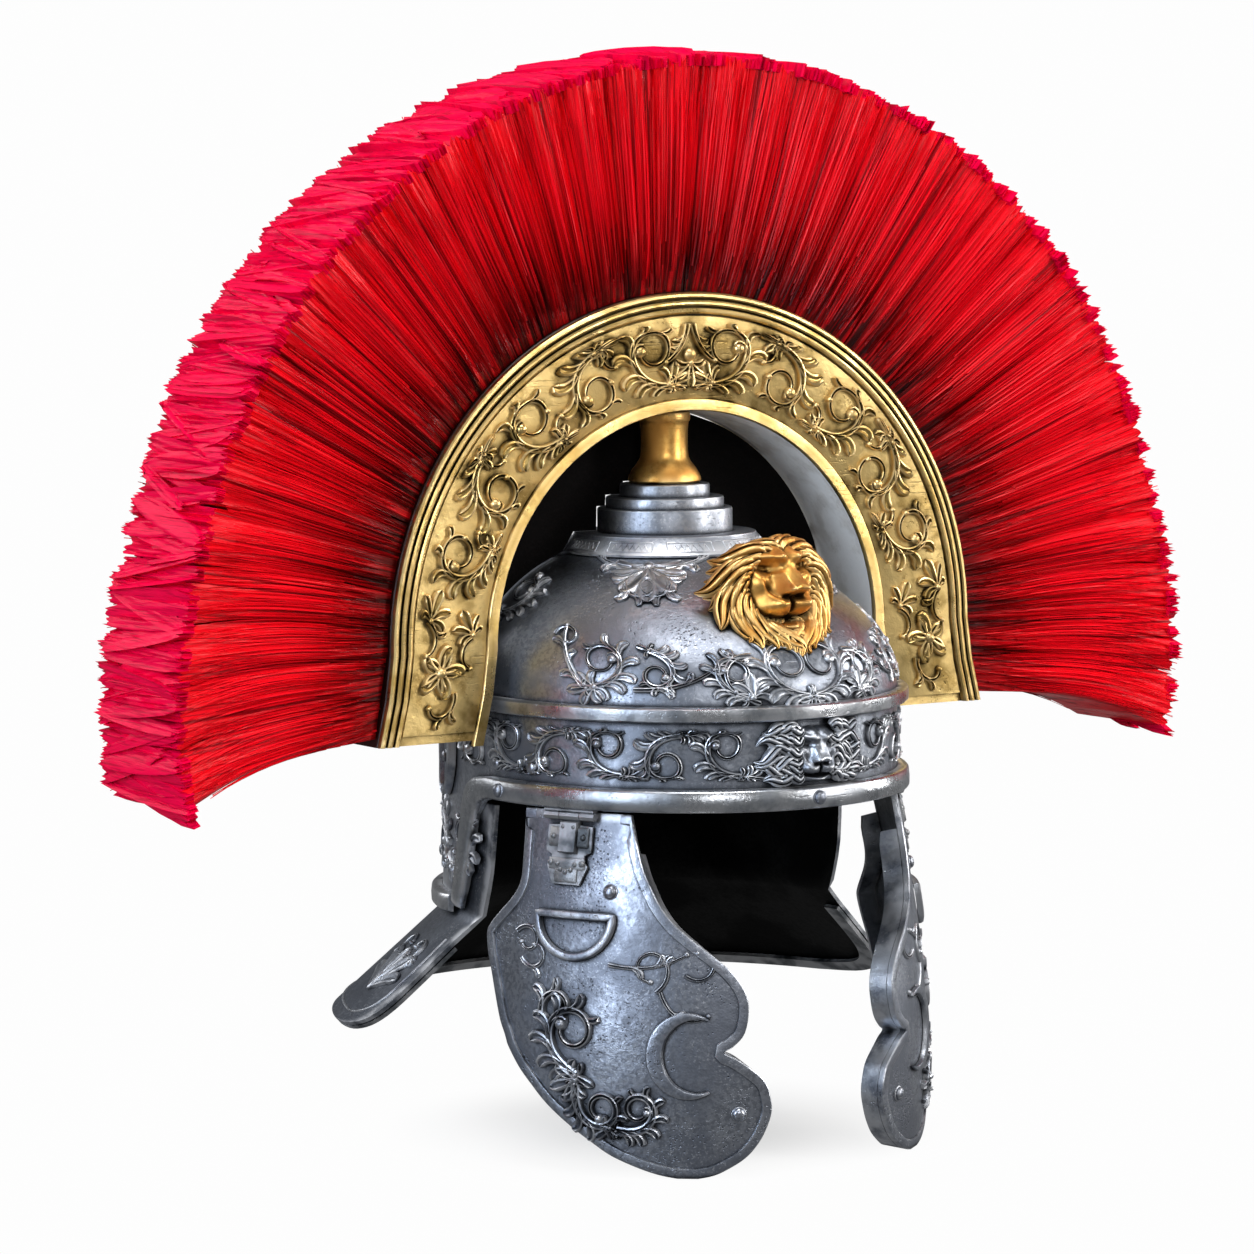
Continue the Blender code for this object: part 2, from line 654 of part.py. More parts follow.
def make_lion():
    middle = (LION_LOW_CLIMB + LION_HIGH_CLIMB) / 2
    half_climb = (LION_HIGH_CLIMB - LION_LOW_CLIMB) / 2

    def place(direction, share, out):
        turn = radians(direction)
        widen = 1 / cos(radians(middle + half_climb * share * sin(turn) * 0.8))
        return dome_point(LION_HALF_TURN * share * cos(turn) * widen * 0.82,
                          middle + half_climb * share * sin(turn), out)

    directions = [index * 360 / (2 * LION_LOCKS) for index in range(2 * LION_LOCKS)]
    mesh_data = bmesh.new()
    rings = []
    rings.append([mesh_data.verts.new(place(d, 0.5, GAP * 1.5)) for d in directions])
    rings.append([mesh_data.verts.new(place(d, 1.0 if n % 2 else 0.9, GAP * 1.5))
                  for n, d in enumerate(directions)])
    for share, relief in LION_RINGS:
        notch = 0.90 if share > 0.6 else 1.0
        rings.append([mesh_data.verts.new(
            place(d, share * (1.0 if n % 2 else notch),
                  LION_RELIEF * relief * (1.0 + (0.18 if sin(radians(d)) < 0 else 0.0)
                                          * (share < 0.5))))
            for n, d in enumerate(directions)])
    for first, second in zip(rings, rings[1:]):
        for index in range(len(first)):
            after = (index + 1) % len(first)
            mesh_data.faces.new((first[index], first[after], second[after], second[index]))
    seat = mesh_data.verts.new(dome_point(0, middle, GAP * 1.5))
    muzzle = mesh_data.verts.new(dome_point(0, middle - half_climb * 0.15, LION_RELIEF))
    for index in range(len(directions)):
        after = (index + 1) % len(directions)
        mesh_data.faces.new((rings[0][index], rings[0][after], seat))
        mesh_data.faces.new((rings[-1][index], rings[-1][after], muzzle))
    return node("lion_mask", mesh_data, gold, sharp=50)


make_lion()

# Brow mask: a small face with a spread mane on the band between the rings.
# Rows up the band as (share of the band's clear height, half-turn of the mane, relief of the face)
MASK_ROWS = ((0.0, 3.0, 0.45), (0.22, 6.0, 0.70), (0.45, 13.0, 1.0), (0.68, 16.0, 0.80),
             (0.88, 15.0, 0.72), (1.0, 9.0, 0.40))
MASK_COLUMNS = ((-1.0, 0.10), (-0.72, 0.42), (-0.40, 0.46), (-0.22, 0.88), (0.0, 1.0),
                (0.22, 0.88), (0.40, 0.46), (0.72, 0.42), (1.0, 0.10))


def make_brow_mask():
    low = BROW_RING_HEIGHT + 0.001
    tall = BAND_HEIGHT - UPPER_RING_HEIGHT - 0.001 - low
    front, back = [], []
    for share, half_turn, relief in MASK_ROWS:
        height = low + tall * share
        front.append([wall_point(half_turn * place, height, 0.001 + MASK_RELIEF * relief * column)
                      for place, column in MASK_COLUMNS])
        back.append([wall_point(half_turn * place, height, GAP * 1.6) for place, _ in MASK_COLUMNS])
    return slab("brow_mask", front, back, steel, sharp=50)


make_brow_mask()

# Lugs: tongue-shaped plates on the nape wall behind the crest's legs.
# Rows down the tongue as (share of its height, half-width in degrees)
LUG_ROWS = ((0.0, 6.8), (0.45, 6.6), (0.72, 5.6), (0.90, 3.8), (1.0, 1.6))
LUG_ANGLE = -116.5
LUG_TOP = 0.0405
LUG_HEIGHT = 0.045


def make_lug():
    front, back = [], []
    for share, half_turn in LUG_ROWS:
        height = LUG_TOP - LUG_HEIGHT * share
        places = [LUG_ANGLE + half_turn * place for place in (-1, -0.6, 0, 0.6, 1)]
        reliefs = (0.55, 1.0, 0.85, 1.0, 0.55)
        front.append([wall_point(a, height, LUG_THICKNESS * r) for a, r in zip(places, reliefs)])
        back.append([wall_point(a, height, GAP * 1.5) for a in places])
    return slab("lug_right", front, back, steel)


mirrored(make_lug(), "lug_left")

# Cheek guards: each outline row is (share of the length, front edge and rear edge in degrees).
CHEEK_ROWS = (
    (0.000, 46.8, 74.8), (0.135, 43.7, 74.0), (0.200, 41.2, 73.9), (0.246, 39.1, 75.6),
    (0.293, 36.0, 79.0), (0.330, 32.5, 81.6), (0.358, 29.6, 82.5), (0.411, 24.4, 81.6),
    (0.465, 21.0, 80.0), (0.520, 19.7, 78.6), (0.592, 20.7, 76.8), (0.630, 23.3, 75.4),
    (0.646, 25.2, 74.9), (0.666, 22.2, 74.2), (0.719, 17.0, 71.3), (0.762, 15.4, 68.2),
    (0.813, 14.9, 64.3), (0.868, 16.3, 58.8), (0.909, 18.2, 54.0), (0.944, 20.8, 49.6),
    (0.974, 24.6, 43.8), (0.991, 27.6, 39.4), (1.000, 31.0, 35.4))
CHEEK_COLUMNS = 5


def cheek_height(share):
    return CHEEK_TOP - CHEEK_LENGTH * share


def make_cheek_plate():
    front, back = [], []
    for share, fore, rear in CHEEK_ROWS:
        height = cheek_height(share)
        turns = [fore + (rear - fore) * column / CHEEK_COLUMNS for column in range(CHEEK_COLUMNS + 1)]
        front.append([on_cheek(turn, height, 0.0) for turn in turns])
        back.append([on_cheek(turn, height, -CHEEK_WALL) for turn in turns])
    return slab("cheek_plate_right", front, back, steel)


def make_cheek_edging():
    """A strip turned in behind the plate, from the rear top corner round to the front one."""
    down = [(rear, cheek_height(share), share) for share, fore, rear in CHEEK_ROWS]
    up = [(fore, cheek_height(share), share) for share, fore, rear in CHEEK_ROWS[::-1]]
    path = down[1:] + up[:-1]
    sections = []
    for index, (turn, height, share) in enumerate(path):
        before = path[max(0, index - 1)]
        after = path[min(len(path) - 1, index + 1)]
        normal = cheek_normal(turn, height)
        along = on_cheek(after[0], after[1], 0) - on_cheek(before[0], before[1], 0)
        inset = normal.cross(along).normalized() * EDGING_THICKNESS
        depth = EDGING_DEPTH * (0.3 + 0.7 * smooth(share / 0.15))
        near = on_cheek(turn, height, 0) - normal * (CHEEK_WALL + EDGING_CLEARANCE)
        far = near - normal * depth
        sections.append([near, far, far + inset, near + inset])
    return swept("cheek_edging_right", sections, dark_steel)


mirrored(make_cheek_plate(), "cheek_plate_left")
mirrored(make_cheek_edging(), "cheek_edging_left")

# Hinges: two outer knuckles with the pin hang from a strap under the rim, and the middle knuckle
# carries a leaf on the cheek guard's face.
HINGE_CENTRE = cheek_point(HINGE_TURN, HINGE_Z, HINGE_OUT)
HINGE_NORMAL = (cheek_point(HINGE_TURN, HINGE_Z, 1.0) - cheek_point(HINGE_TURN, HINGE_Z)).normalized()
HINGE_AXIS = Vector((-HINGE_NORMAL.y, HINGE_NORMAL.x, 0))


def joined(first, others):
    """Weld pieces that are one casting into the first."""
    for other in others:
        union = first.modifiers.new(other.name, "BOOLEAN")
        union.operation = "UNION"
        union.object = other
    bpy.context.view_layer.update()
    evaluated = first.evaluated_get(bpy.context.evaluated_depsgraph_get())
    welded = bpy.data.meshes.new_from_object(evaluated)
    first.modifiers.clear()
    first.data = welded
    for other in others:
        bpy.data.objects.remove(other, do_unlink=True)
    return first


def hinge_frame(along, out, height):
    return HINGE_CENTRE + HINGE_AXIS * along + HINGE_NORMAL * out + Vector((0, 0, height))


def barrel(name, start, end, radius, finish, bore=0.0):
    """A knuckle or pin along the hinge's axis, bored if it turns on the pin."""
    steps = 8
    sections = []
    for along in (start, end):
        sections.append([hinge_frame(along, radius * cos(2 * pi * step / steps),
                                     radius * sin(2 * pi * step / steps)) for step in range(steps)])
    if not bore:
        return swept(name, sections, finish)
    for along in (end, start):
        sections.append([hinge_frame(along, bore * cos(2 * pi * step / steps),
                                     bore * sin(2 * pi * step / steps)) for step in range(steps)])
    return swept(name, sections, finish, closed=True)


def make_hinge():
    half, middle = HINGE_LENGTH / 2, MIDDLE_KNUCKLE / 2
    roof = -HINGE_Z - GAP
    floor = KNUCKLE_RADIUS + GAP
    strap = swept("hinge_fixed_right",
                  [[hinge_frame(along, -STRAP_HALF_WIDTH, floor),
                    hinge_frame(along, STRAP_HALF_WIDTH, floor),
                    hinge_frame(along, STRAP_HALF_WIDTH, roof),
                    hinge_frame(along, -STRAP_HALF_WIDTH, roof)] for along in (-half, half)], steel)
    parts = [barrel("pin", -half + 0.001, half - 0.001, PIN_RADIUS, steel)]
    for name, start, end in (("rear", -half, -middle - GAP), ("fore", middle + GAP, half)):
        parts.append(barrel(name, start, end, KNUCKLE_RADIUS, steel))
        parts.append(swept(name + "_web",
                           [[hinge_frame(along, -STRAP_HALF_WIDTH * 0.7, 0),
                             hinge_frame(along, STRAP_HALF_WIDTH * 0.7, 0),
                             hinge_frame(along, STRAP_HALF_WIDTH * 0.7, roof - 0.0002),
                             hinge_frame(along, -STRAP_HALF_WIDTH * 0.7, roof - 0.0002)]
                            for along in (start + 0.0004, end - 0.0004)], steel))
    fixed = joined(strap, parts)
    knuckle = barrel("hinge_leaf_right", -middle, middle, KNUCKLE_RADIUS, steel, PIN_RADIUS + GAP)
    arc = (cheek_point(HINGE_TURN + 0.5, HINGE_Z) - cheek_point(HINGE_TURN - 0.5, HINGE_Z)).length
    half_turn = LEAF_HALF_WIDTH / arc
    neck = (MIDDLE_KNUCKLE / 2 - GAP * 2) / LEAF_HALF_WIDTH
    # Rows down the leaf as (share of its length, share of its half-width)
    rows = ((0.0, neck), (0.10, neck), (0.12, 1.0), (0.50, 1.0), (0.56, 0.72), (0.66, 0.72),
            (0.72, 0.90), (1.0, 0.6))
    front, back = [], []
    for share, width in rows:
        height = HINGE_Z - KNUCKLE_RADIUS * 0.7 - LEAF_LENGTH * share
        turns = [HINGE_TURN + half_turn * width * place for place in (-1, 0, 1)]
        front.append([on_cheek(turn, height, GAP * 1.5 + LEAF_THICKNESS) for turn in turns])
        back.append([on_cheek(turn, height, GAP * 1.5) for turn in turns])
    leaf = joined(knuckle, [slab("leaf", front, back, steel)])
    return fixed, leaf


fixed_right, leaf_right = make_hinge()
mirrored(fixed_right, "hinge_fixed_left")
mirrored(leaf_right, "hinge_leaf_left")

# Strap loops: raised D-shaped loops, flat at the top, on the cheek guards.
LOOP_TURN = 58.8
LOOP_SHARE = 0.282
LOOP_HALF_WIDTH = 0.0178
LOOP_DROP = 0.0195


def make_loop():
    def place(across, down):
        turn = LOOP_TURN - degrees(across / (CHEEK_HALF_WIDTH + CHEEK_BULGE * 0.6))
        return turn, cheek_height(LOOP_SHARE) - down

    path = [place(LOOP_HALF_WIDTH * share, 0) for share in (-1, -0.5, 0, 0.5, 1)]
    path += [place(LOOP_HALF_WIDTH * cos(radians(a)), LOOP_DROP * sin(radians(a)))
             for a in range(20, 179, 20)]
    sections = []
    for index, (turn, height) in enumerate(path):
        before, after = path[index - 1], path[(index + 1) % len(path)]
        normal = cheek_normal(turn, height)
        centre = on_cheek(turn, height, LOOP_WIRE + GAP * 1.5)
        along = (on_cheek(*after, 0) - on_cheek(*before, 0)).normalized()
        across = normal.cross(along).normalized()
        sections.append([centre + normal * LOOP_WIRE * cos(2 * pi * step / 6)
                         + across * LOOP_WIRE * sin(2 * pi * step / 6) for step in range(6)])
    return swept("strap_loop_right", sections, steel, closed=True)


mirrored(make_loop(), "strap_loop_left")

# Crescents: raised on the cheek guards behind the notch of the front edge, horns forward.
CRESCENT_TURN = 28.0
CRESCENT_SHARE = 0.655
CRESCENT_RADIUS = 0.0205
CRESCENT_BELLY = 0.0085
CRESCENT_STEPS = 10


def make_crescent():
    front, back = [], []
    for index in range(CRESCENT_STEPS + 1):
        share = index / CRESCENT_STEPS
        bend = radians(58 + 244 * share)
        width = CRESCENT_BELLY * sin(pi * (0.03 + 0.94 * share))
        rows = []
        for out in (CRESCENT_THICKNESS, GAP * 1.5):
            row = []
            for inward in (0, 0.5, 1):
                reach = CRESCENT_RADIUS - width * inward
                across = reach * cos(bend)
                down = reach * sin(bend)
                turn = CRESCENT_TURN + 5.0 - degrees(across / (CHEEK_FRONT + CHEEK_BULGE * 0.5))
                ridge = 1.0 if inward == 0.5 or out < CRESCENT_THICKNESS else 0.72
                row.append(on_cheek(turn, cheek_height(CRESCENT_SHARE) - down, out * ridge))
            rows.append(row)
        front.append(rows[0])
        back.append(rows[1])
    return slab("crescent_right", front, back, steel)


mirrored(make_crescent(), "crescent_left")

# Rivets: domed heads in pairs on the two sides, and one over the brow.
WALL_RIVETS = (("rim_rivet", 84.5, 0.50), ("band_rivet_rear", 88.5, 1.62),
               ("band_rivet_fore", 75.5, 1.62))
for name, angle, share in WALL_RIVETS:
    on_ring = share < 1
    out = RING_PROUD if on_ring else 0.0
    height = BROW_RING_HEIGHT * share
    right = head_on_wall(name + "_right", wall_point(-angle, height, out),
                         outward(wall_point, -angle, height), steel)
    mirrored(right, name + "_left")
head_on_wall("rim_rivet_front", wall_point(0, BROW_RING_HEIGHT * 0.5, RING_PROUD),
             outward(wall_point, 0, BROW_RING_HEIGHT * 0.5), steel)

NAPE_RIVETS = ((124.0, 0.60), (117.0, 0.62), (110.5, 0.70))
for number, (angle, share) in enumerate(NAPE_RIVETS, 1):
    height = -NAPE_DROP * share
    right = head_on_wall("nape_rivet_%d_right" % number, wall_point(-angle, height),
                         outward(wall_point, -angle, height), steel)
    mirrored(right, "nape_rivet_%d_left" % number)

CHEEK_RIVETS = (("cheek_rivet_upper", 50.8, 0.212), ("cheek_rivet_lower", 22.1, 0.819))
for name, turn, share in CHEEK_RIVETS:
    height = cheek_height(share)
    right = head_on_wall(name + "_right", on_cheek(turn, height, 0), cheek_normal(turn, height), steel)
    mirrored(right, name + "_left")
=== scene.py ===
from math import acos, asin, cos, degrees, hypot, pi, radians, sin, sqrt
from random import Random

import bmesh
import bpy
from mathutils import Matrix, Vector


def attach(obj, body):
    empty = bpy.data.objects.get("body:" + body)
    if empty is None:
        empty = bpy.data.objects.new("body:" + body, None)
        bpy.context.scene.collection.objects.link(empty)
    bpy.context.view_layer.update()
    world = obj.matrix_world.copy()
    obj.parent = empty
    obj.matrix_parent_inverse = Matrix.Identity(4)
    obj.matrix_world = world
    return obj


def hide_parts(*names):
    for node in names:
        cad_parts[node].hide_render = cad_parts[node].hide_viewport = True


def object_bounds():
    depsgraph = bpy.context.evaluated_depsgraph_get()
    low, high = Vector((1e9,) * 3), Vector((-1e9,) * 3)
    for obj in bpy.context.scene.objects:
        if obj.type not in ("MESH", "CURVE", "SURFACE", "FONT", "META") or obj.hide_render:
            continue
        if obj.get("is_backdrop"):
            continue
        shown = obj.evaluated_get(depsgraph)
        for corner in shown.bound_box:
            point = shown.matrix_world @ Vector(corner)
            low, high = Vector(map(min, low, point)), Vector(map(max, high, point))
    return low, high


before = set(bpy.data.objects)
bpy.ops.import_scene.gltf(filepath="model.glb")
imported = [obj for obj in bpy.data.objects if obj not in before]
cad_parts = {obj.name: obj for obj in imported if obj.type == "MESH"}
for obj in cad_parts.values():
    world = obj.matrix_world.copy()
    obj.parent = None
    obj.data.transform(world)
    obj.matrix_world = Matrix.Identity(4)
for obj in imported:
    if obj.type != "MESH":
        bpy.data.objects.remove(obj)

cad_low, cad_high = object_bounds()

# Studio
# The helmet is seen from its right front, a little above the brow, through a long lens.
# A white floor fades into a white background, and large soft lamps stand round it.
CAMERA_TURN = radians(-32.6)
CAMERA_RISE = radians(5.43)
CAMERA_ROLL = radians(-0.48)
CAMERA_DISTANCE = 2.470
CAMERA_AIM = Vector((-0.0226, 0.0, 0.0775))
CAMERA_LENS = 144.55
FLOOR_SIZE = 60.0
BACKDROP_WHITE = 0.985

eye = bpy.data.cameras.new("camera")
eye.lens = CAMERA_LENS
eye.sensor_width = 36.0
eye.clip_start = 0.1
eye.clip_end = 200.0
camera = bpy.data.objects.new("camera", eye)
bpy.context.scene.collection.objects.link(camera)
bpy.context.scene.camera = camera
back = Vector((sin(CAMERA_TURN) * cos(CAMERA_RISE), -cos(CAMERA_TURN) * cos(CAMERA_RISE),
               sin(CAMERA_RISE)))
level = Vector((cos(CAMERA_TURN), sin(CAMERA_TURN), 0.0))
upright = back.cross(level)
across = level * cos(CAMERA_ROLL) + upright * sin(CAMERA_ROLL)
over = upright * cos(CAMERA_ROLL) - level * sin(CAMERA_ROLL)
turned_eye = Matrix((across, over, back)).transposed().to_4x4()
camera.matrix_world = Matrix.Translation(CAMERA_AIM + back * CAMERA_DISTANCE) @ turned_eye
bpy.context.scene.view_settings.view_transform = "Standard"


def add(tree, kind, **settings):
    """Put a shader node of a kind into a tree."""
    made = tree.nodes.new("ShaderNode" + kind)
    for name, value in settings.items():
        setattr(made, name, value)
    return made


def plug(tree, target, value):
    """Feed a socket from another socket, or set it to a number or colour."""
    if isinstance(value, bpy.types.NodeSocket):
        tree.links.new(value, target)
    else:
        target.default_value = value


def calc(tree, operation, *terms):
    made = add(tree, "Math", operation=operation)
    for target, term in zip(made.inputs, terms):
        plug(tree, target, term)
    return made.outputs[0]


def times(tree, first, second):
    return calc(tree, "MULTIPLY", first, second)


def plus(tree, first, second):
    return calc(tree, "ADD", first, second)


def minus(tree, first, second):
    return calc(tree, "SUBTRACT", first, second)


def ranged(tree, value, low, high, start=0.0, end=1.0):
    """Map a value from one range to another and keep it inside."""
    made = add(tree, "MapRange", interpolation_type="SMOOTHSTEP")
    for target, term in zip(made.inputs, (value, low, high, start, end)):
        plug(tree, target, term)
    return made.outputs[0]


def mixed(tree, share, first, second):
    made = add(tree, "Mix", data_type="RGBA")
    plug(tree, made.inputs[0], share)
    plug(tree, made.inputs[6], first)
    plug(tree, made.inputs[7], second)
    return made.outputs[2]


def rgb(red, green, blue):
    return (red, green, blue, 1.0)


def new_paint(name):
    """A new material, with its node tree and its shader."""
    made = bpy.data.materials.new(name)
    made.use_nodes = True
    return made, made.node_tree, made.node_tree.nodes["Principled BSDF"]


floor_mesh = bpy.data.meshes.new("floor")
half = FLOOR_SIZE / 2
floor_mesh.from_pydata([(-half, -half, 0), (half, -half, 0), (half, half, 0), (-half, half, 0)], [],
                       [(0, 1, 2, 3)])
floor = bpy.data.objects.new("floor", floor_mesh)
floor.location.z = cad_low.z - 0.0004
bpy.context.scene.collection.objects.link(floor)
floor_paint, tree, shader = new_paint("pale floor")
shader.inputs["Base Color"].default_value = rgb(0.86, 0.86, 0.86)
shader.inputs["Roughness"].default_value = 0.9
shader.inputs["Specular IOR Level"].default_value = 0.0
place = add(tree, "TexCoord").outputs["Object"]
reach = add(tree, "VectorMath", operation="LENGTH")
plug(tree, reach.inputs[0], place)
far = ranged(tree, reach.outputs["Value"], 0.02, 0.15, 0.60, 1.0)
seen = add(tree, "LightPath").outputs["Is Camera Ray"]
glow = add(tree, "Emission")
plug(tree, glow.inputs["Strength"], ranged(tree, seen, 0, 1, 0.22, BACKDROP_WHITE))
both = add(tree, "MixShader")
plug(tree, both.inputs[0], far)
plug(tree, both.inputs[1], shader.outputs[0])
plug(tree, both.inputs[2], glow.outputs[0])
plug(tree, tree.nodes["Material Output"].inputs["Surface"], both.outputs[0])
floor_mesh.materials.append(floor_paint)
floor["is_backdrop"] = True

studio = bpy.data.worlds.new("studio")
bpy.context.scene.world = studio
studio.use_nodes = True
tree = studio.node_tree
plain = tree.nodes["Background"]
plain.inputs["Color"].default_value = rgb(1, 1, 1)
seen = add(tree, "LightPath").outputs["Is Camera Ray"]
height = add(tree, "SeparateXYZ")
plug(tree, height.inputs[0], add(tree, "TexCoord").outputs["Generated"])
sky = ranged(tree, height.outputs["Z"], -0.2, 0.9, 0.07, 0.26)
unseen = times(tree, minus(tree, 1.0, seen), sky)
plug(tree, plain.inputs["Strength"], plus(tree, times(tree, seen, BACKDROP_WHITE), unseen))


def lamp(name, place, aim, size, watts, colour=(1.0, 1.0, 1.0)):
    """A large soft lamp that points at a place and isn't seen itself."""
    light = bpy.data.lights.new(name, "AREA")
    light.shape = "RECTANGLE"
    light.size, light.size_y = size
    light.energy = watts
    light.color = colour
    made = bpy.data.objects.new(name, light)
    made.location = place
    made.rotation_mode = "QUATERNION"
    made.rotation_quaternion = (Vector(aim) - Vector(place)).to_track_quat("-Z", "Y")
    made.visible_camera = False
    bpy.context.scene.collection.objects.link(made)


LOW_AIM = (0, 0, 0.05)
HIGH_AIM = (0, 0, 0.1)
SKYLIGHT = (0.74, 0.85, 1.0)
WARM_WHITE = (1.0, 0.98, 0.95)
lamp("key_lamp", (-2.3, -0.55, 0.75), LOW_AIM, (0.55, 1.7), 40, SKYLIGHT)
lamp("front_lamp", (1.45, -1.9, 0.75), LOW_AIM, (0.50, 1.5), 34, WARM_WHITE)
lamp("side_lamp", (2.3, -0.5, 0.8), LOW_AIM, (0.5, 1.6), 32, WARM_WHITE)
lamp("fill_lamp", (-1.0, -2.4, 0.9), HIGH_AIM, (0.5, 0.9), 14)
lamp("top_lamp", (-0.2, -0.5, 2.3), HIGH_AIM, (1.1, 0.7), 30)
lamp("rear_lamp", (-1.2, 2.0, 1.1), HIGH_AIM, (1.2, 1.2), 20)

# Skull bowl
# The bowl is one sheet of iron, raised and planished, from the crown to the brow and, behind
# the ears, down the nape. It is burnished pewter grey outside, and inside it is painted near-black as
# shade.
GAP = 0.0003
BOWL_HALF_WIDTH = 0.104
BOWL_FRONT = 0.119
BOWL_BACK = 0.134
BOWL_CENTRE_Y = -0.0078
BOWL_WALL = 0.002
BAND_HEIGHT = 0.050
DOME_RISE = 0.073
CROWN_RADIUS = 0.050
NAPE_DROP = 0.058
NAPE_FLARE = 0.003
BROW_RING_HEIGHT = 0.0107
CROWN_CLIMB = degrees(acos(CROWN_RADIUS / BOWL_HALF_WIDTH))
LIP = ((0, 0.0), (90, 0.0), (94, 0.04), (97.5, 0.18), (99.5, 0.50), (101.5, 0.78), (104.5, 1.0),
       (180, 1.0))


def effect(name, inputs, outputs):
    """A shader node group with its sockets, what it is given and what it gives."""
    made = bpy.data.node_groups.new(name, "ShaderNodeTree")
    for way, kinds in (("INPUT", inputs), ("OUTPUT", outputs)):
        for socket, kind in kinds.items():
            made.interface.new_socket(socket, in_out=way, socket_type="NodeSocket" + kind)
    return made, made.nodes.new("NodeGroupInput").outputs, made.nodes.new("NodeGroupOutput").inputs


def cloud(tree, vector, scale, detail):
    """Smooth noise over a vector, finer as the scale goes up."""
    made = add(tree, "TexNoise")
    for socket, value in (("Vector", vector), ("Scale", scale), ("Detail", detail)):
        plug(tree, made.inputs[socket], value)
    return made.outputs[0]


def bump(tree, shader, height, strength, depth):
    """Let a height raise and sink the surface."""
    dent = add(tree, "Bump")
    for socket, value in (("Strength", strength), ("Distance", depth), ("Height", height)):
        plug(tree, dent.inputs[socket], value)
    plug(tree, shader.inputs["Normal"], dent.outputs[0])


def dress(tree, shader, group, values, strength, depth):
    """Place an effect in a material with its own values, and let it feed the shader."""
    look = add(tree, "Group")
    look.node_tree = group
    for socket, value in values.items():
        look.inputs[socket].default_value = value
    plug(tree, shader.inputs["Base Color"], look.outputs["Colour"])
    plug(tree, shader.inputs["Roughness"], look.outputs["Roughness"])
    bump(tree, shader, look.outputs["Height"], strength, depth)


SURFACE_SOCKETS = {"Colour": "Color", "Roughness": "Float", "Height": "Float"}


def metal_group():
    """Aged metal: blotches, fine hammering, scratches, pits, dark patina and painted shade in recesses, and
    rubbed edges.
    """
    made, given, result = effect("aged metal", {
        "Base": "Color", "Tint": "Color", "Patina And Shade": "Color", "Rubbed": "Color", "Mottle": "Float",
        "Patina And Shade Reach": "Float", "Roughness": "Float", "Pits": "Float"}, SURFACE_SOCKETS)
    place = add(made, "TexCoord").outputs["Object"]

    def noise(scale, detail):
        return cloud(made, place, scale, detail)

    def strokes(turn, stretch, low, high):
        """Scratches in patches, drawn out along one direction."""
        drawn = add(made, "Mapping")
        plug(made, drawn.inputs["Vector"], place)
        drawn.inputs["Scale"].default_value = stretch
        drawn.inputs["Rotation"].default_value = turn
        lines = ranged(made, cloud(made, drawn.outputs[0], 1.0, 2.0), low, high)
        return times(made, lines, ranged(made, noise(26.0, 2.0), 0.50, 0.62))

    patches = ranged(made, noise(given["Mottle"], 8.0), 0.40, 0.60)
    speckle = ranged(made, noise(480.0, 4.0), 0.44, 0.60)
    scuffs = times(made, ranged(made, noise(900.0, 3.0), 0.54, 0.70),
                   ranged(made, noise(55.0, 4.0), 0.44, 0.58))
    scuffs = times(made, scuffs, given["Pits"])
    grain = noise(1100.0, 2.0)
    hammer = noise(210.0, 3.0)
    scratches = calc(made, "MAXIMUM", strokes((0.3, 0.9, 0.2), (50, 1000, 1000), 0.62, 0.70),
                     strokes((0.1, 2.3, 0.5), (40, 900, 900), 0.64, 0.72))
    cells = add(made, "TexVoronoi")
    plug(made, cells.inputs["Vector"], place)
    cells.inputs["Scale"].default_value = 520.0
    pits = times(made, ranged(made, cells.outputs["Distance"], 0.30, 0.14),
                 ranged(made, noise(60.0, 4.0), 0.54, 0.62))
    pits = times(made, pits, given["Pits"])
    # Patina and painted shade: ambient occlusion darkens hollows, the foot of each relief and the ground
    # beside it towards the dark colour
    hollow = add(made, "AmbientOcclusion", samples=10)
    plug(made, hollow.inputs["Distance"], given["Patina And Shade Reach"])
    patina_and_shade = ranged(made, hollow.outputs["AO"], 0.94, 0.50)
    edge = ranged(made, add(made, "NewGeometry").outputs["Pointiness"], 0.515, 0.58)
    edge = times(made, edge, ranged(made, noise(70.0, 3.0), 0.34, 0.56))
    colour = mixed(made, patches, given["Base"], given["Tint"])
    for mask, strength, over in ((speckle, 0.65, "Tint"), (scuffs, 0.45, "Rubbed"),
                                 (scratches, 0.55, "Patina And Shade"), (pits, 0.6, "Patina And Shade"),
                                 (patina_and_shade, 0.95, "Patina And Shade"), (edge, 0.8, "Rubbed")):
        colour = mixed(made, times(made, mask, strength), colour, given[over])
    plug(made, result["Colour"], colour)
    rough = plus(made, given["Roughness"], times(made, patches, 0.12))
    rough = plus(made, rough, times(made, patina_and_shade, 0.25))
    plug(made, result["Roughness"], plus(made, rough, times(made, grain, 0.08)))
    relief = plus(made, times(made, grain, 0.25), times(made, hammer, 0.9))
    relief = minus(made, relief, times(made, pits, 0.9))
    plug(made, result["Height"], minus(made, relief, times(made, scratches, 0.6)))
    return made


aged_metal = metal_group()


def metal(name, base, tint, patina_and_shade, rubbed, mottle=30.0, reach=0.004, rough=0.34, pits=0.5, hammered=0.35,
          metallic=1.0):
    """A metal finish: the aged metal group with its own colours in a metallic shader."""
    made, tree, shader = new_paint(name)
    shader.inputs["Metallic"].default_value = metallic
    dress(tree, shader, aged_metal, {
        "Base": base, "Tint": tint, "Patina And Shade": patina_and_shade, "Rubbed": rubbed, "Mottle": mottle,
        "Patina And Shade Reach": reach, "Roughness": rough, "Pits": pits}, hammered, 0.0006)
    made.diffuse_color = base
    return made


